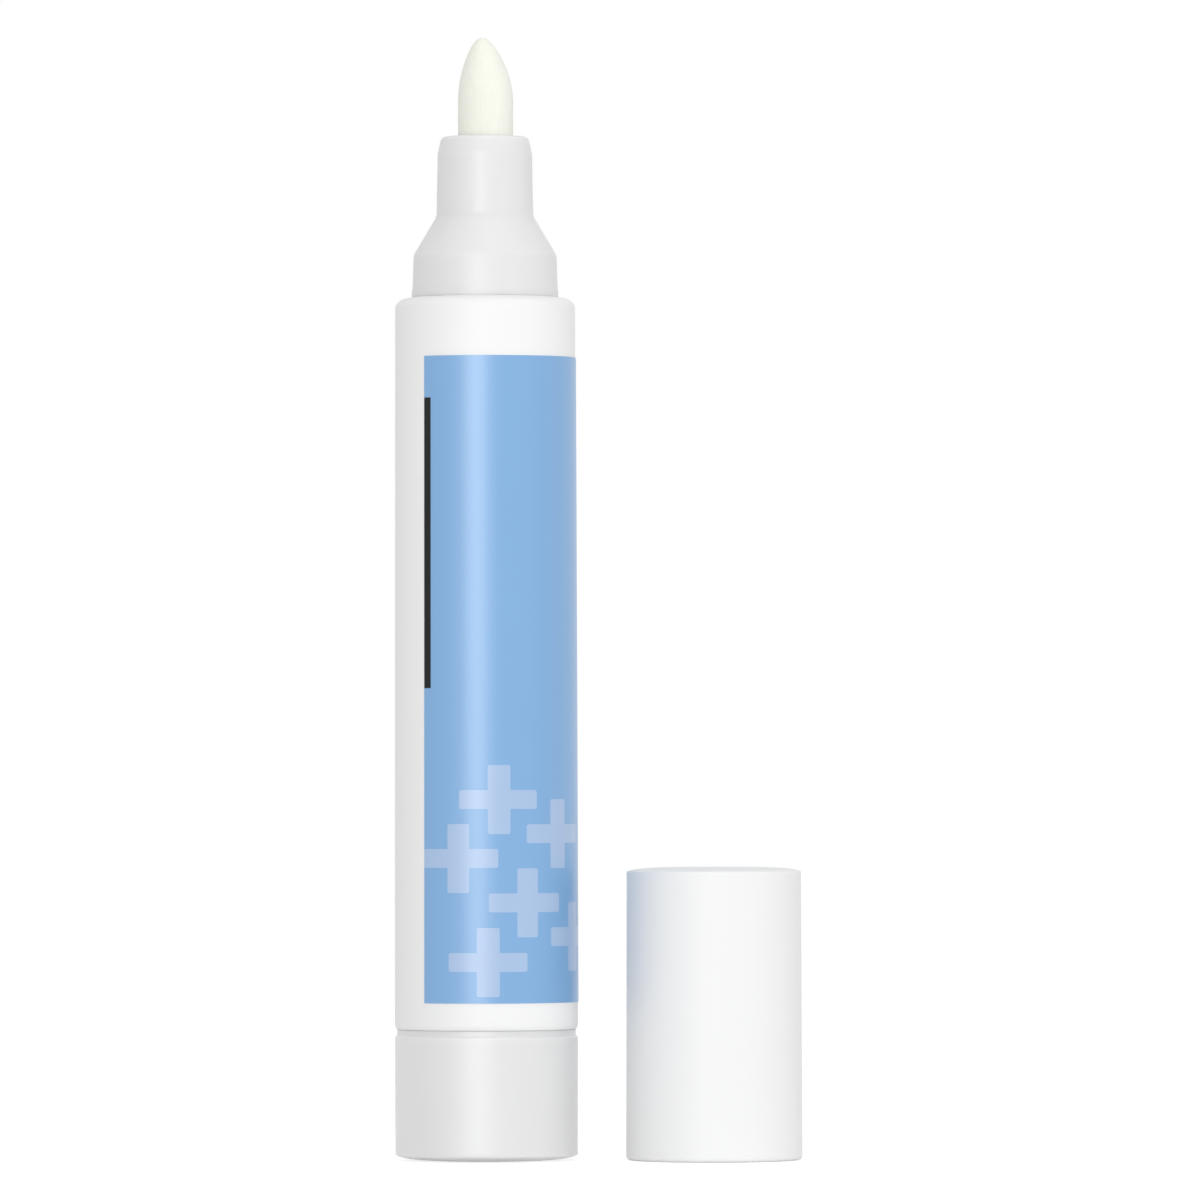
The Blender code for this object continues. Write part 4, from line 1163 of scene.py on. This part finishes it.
@dataclass(frozen=True)
class Lamp:
    """A flat soft lamp that faces the object.

    Attributes:
        azimuth_deg: Its direction from the front, to the right.
        brightness: How bright its face is, where 1 would show as white.
        elevation_deg: Its direction above the horizon.
        reflected: Whether its face shows in reflections.
    """

    name: str
    azimuth_deg: float
    brightness: float
    elevation_deg: float = 0.0
    distance: float = 1.2
    width: float = 0.8
    height: float = 0.8
    reflected: bool = True

    def build(self, target: Vector) -> None:
        """Adds the lamp.

        Args:
            target: The point that it faces.
        """
        tilt = math.radians(90 - self.elevation_deg)
        turn = Euler((tilt, 0.0, math.radians(self.azimuth_deg)))
        data = bpy.data.lights.new(self.name, "AREA")
        data.shape = "RECTANGLE"
        data.size = self.width
        data.size_y = self.height
        data.energy = self.brightness * math.pi * self.width * self.height
        lamp = bpy.data.objects.new(self.name, data)
        lamp.location = target + turn.to_matrix() @ Vector((0.0, 0.0, self.distance))
        lamp.rotation_euler = turn
        lamp.visible_camera = False
        lamp.visible_glossy = self.reflected
        bpy.context.scene.collection.objects.link(lamp)


@dataclass
class Studio:
    """The photograph's view, a pale floor, soft lamps and a white surround.

    Attributes:
        photo_scale: Metres per pixel of the photograph, at the pen.
        axis_px: The column of the pen's axis in the photograph.
        foot_px: The row of its foot.
        floor_seen_colour: The floor's colour where it is looked at, under its glow.
        surround: The surround's light, where 1 is how bright it looks.
    """

    photo_side_px: int = 1200
    photo_scale: float = 0.0000909
    axis_px: float = 485.95
    foot_px: float = 1159.85
    camera_distance: float = 1.044
    camera_height: float = 0.03535
    camera_roll_deg: float = 0.11
    sensor_width_mm: float = 36.0
    floor_size: float = 6.0
    floor_colour: Colour = (0.90, 0.90, 0.90)
    floor_seen_colour: Colour = (0.35, 0.35, 0.35)
    floor_glow: float = 0.80
    surround: float = 0.60
    lamp_target: Place = (0.0, 0.0, 0.05)
    lamps: tuple[Lamp, ...] = (
        Lamp("front_strip", azimuth_deg=-11.0, brightness=6.0, distance=0.9, width=0.36, height=0.6),
        Lamp("side_fill", azimuth_deg=50.0, brightness=1.9, elevation_deg=5.0, height=1.0, reflected=False),
        Lamp("top_fill", azimuth_deg=10.0, brightness=1.2, elevation_deg=80.0),
    )

    def build_camera(self) -> None:
        """Adds the camera at the photograph's view."""
        middle_px = self.photo_side_px / 2
        frame_width = self.photo_side_px * self.photo_scale
        data = bpy.data.cameras.new("photo_view")
        data.sensor_width = self.sensor_width_mm
        data.lens = data.sensor_width * self.camera_distance / frame_width
        camera = bpy.data.objects.new("photo_view", data)
        side = (middle_px - self.axis_px) * self.photo_scale
        aim = (self.foot_px - middle_px) * self.photo_scale
        tilt = math.atan2(aim - self.camera_height, self.camera_distance)
        camera.location = (side, -self.camera_distance, self.camera_height)
        camera.rotation_euler = (math.pi / 2 + tilt, math.radians(self.camera_roll_deg), 0.0)
        bpy.context.scene.collection.objects.link(camera)
        bpy.context.scene.camera = camera

    def looked_at(self, sheet: NodeSheet) -> Value:
        """Returns 1 for a ray that looks, also in gloss or through glass, and 0 for others."""
        path = sheet.add("ShaderNodeLightPath")
        return (
            sheet.value(path, "Is Camera Ray")
            + sheet.value(path, "Is Glossy Ray")
            + sheet.value(path, "Is Transmission Ray")
        ).at_most(1.0)

    def build_floor(self) -> None:
        """Adds the floor, which looks white and keeps the object's shadow."""
        bpy.ops.object.select_all(action="DESELECT")
        bpy.ops.mesh.primitive_plane_add(size=self.floor_size)
        floor = bpy.context.active_object
        floor.name = "floor"
        material, sheet = new_material("pale_floor")
        plain = sheet.add("ShaderNodeBsdfDiffuse", None, {"Color": self.floor_colour})
        seen = sheet.add("ShaderNodeBsdfDiffuse", None, {"Color": self.floor_seen_colour})
        glow = sheet.add("ShaderNodeEmission", None, {"Strength": self.floor_glow})
        lit = sheet.add("ShaderNodeAddShader", None, {0: seen.outputs[0], 1: glow.outputs[0]})
        shaders = {0: self.looked_at(sheet), 1: plain.outputs[0], 2: lit.outputs[0]}
        surface = sheet.add("ShaderNodeMixShader", None, shaders)
        sheet.add("ShaderNodeOutputMaterial", None, {"Surface": surface.outputs[0]})
        floor.data.materials.append(material)

    def build_surround(self) -> None:
        """Makes the world white where it is looked at, and a plain soft light."""
        world = bpy.data.worlds.new("white_surround")
        world.use_nodes = True
        bpy.context.scene.world = world
        sheet = NodeSheet(world.node_tree)
        strength = self.surround + (1 - self.surround) * self.looked_at(sheet)
        light = sheet.add("ShaderNodeBackground", None, {"Color": EVEN, "Strength": strength})
        sheet.add("ShaderNodeOutputWorld", None, {"Surface": light.outputs[0]})

    def build(self) -> None:
        """Builds the whole studio."""
        self.build_camera()
        self.build_floor()
        self.build_surround()
        for lamp in self.lamps:
            lamp.build(Vector(self.lamp_target))
        bpy.context.scene.view_settings.view_transform = "Standard"


WHITE = MouldedPlastic(
    "white_polypropylene", (0.845, 0.845, 0.845), roughness=0.46, gloss=0.32, cloud_share=0.012
)
NATURAL = MouldedPlastic(
    "natural_polypropylene", (0.745, 0.745, 0.745), roughness=0.42, gloss=0.6, depth=0.5
)
KNOB_NATURAL = MouldedPlastic(
    "natural_polypropylene_knob",
    (0.728, 0.728, 0.728),
    roughness=0.46,
    gloss=0.3,
    depth=0.6,
    coat=1.0,
    coat_roughness=0.45,
)
SOFT = MouldedPlastic("soft_polyethylene", (0.82, 0.84, 0.84), roughness=0.55, depth=0.4)
INNER = MouldedPlastic("inner_polypropylene", (0.80, 0.80, 0.78), roughness=0.5)
ACETAL = MouldedPlastic(
    "white_acetal", (0.88, 0.88, 0.86), roughness=0.38, gloss=0.5, cloud_share=0.015
)
RUBBER = MouldedPlastic("clear_silicone", (0.62, 0.62, 0.60), roughness=0.6, depth=0.6)

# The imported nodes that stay, by their finish
INNER_NODES = {
    INNER: ("feed_plug", "ratchet_sleeve", "spindle_nut"),
    ACETAL: ("driver_sleeve", "pawl_ring", "spindle"),
    SOFT: ("piston",),
    RUBBER: ("nozzle_seal", "piston_front_seal", "piston_rear_seal"),
}


def clear_startup_scene() -> None:
    """Removes the objects of Blender's opening scene."""
    for existing in list(bpy.data.objects):
        bpy.data.objects.remove(existing, do_unlink=True)


def dress_inner_nodes(nodes: Mapping[str, bpy.types.Object]) -> None:
    """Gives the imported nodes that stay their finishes.

    Args:
        nodes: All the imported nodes, by name.
    """
    for finish, names in INNER_NODES.items():
        material = finish.build()
        for name in names:
            nodes[name].data.materials.clear()
            nodes[name].data.materials.append(material)
            LOG.info("%s: packed node, dressed with %s", name, material.name)


def main() -> None:
    """Builds the pen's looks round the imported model, and the studio."""
    logging.basicConfig(level=logging.INFO, format="%(message)s")
    clear_startup_scene()
    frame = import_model()
    BarrelAssembly().build(WHITE, PrintedFilm())
    ApplicatorAssembly().build(NATURAL, PressedFelt())
    KnobAssembly().build(KNOB_NATURAL)
    CapAssembly().build(WHITE, SOFT)
    dress_inner_nodes(frame["nodes"])
    Studio().build()


if __name__ == "__main__":
    main()
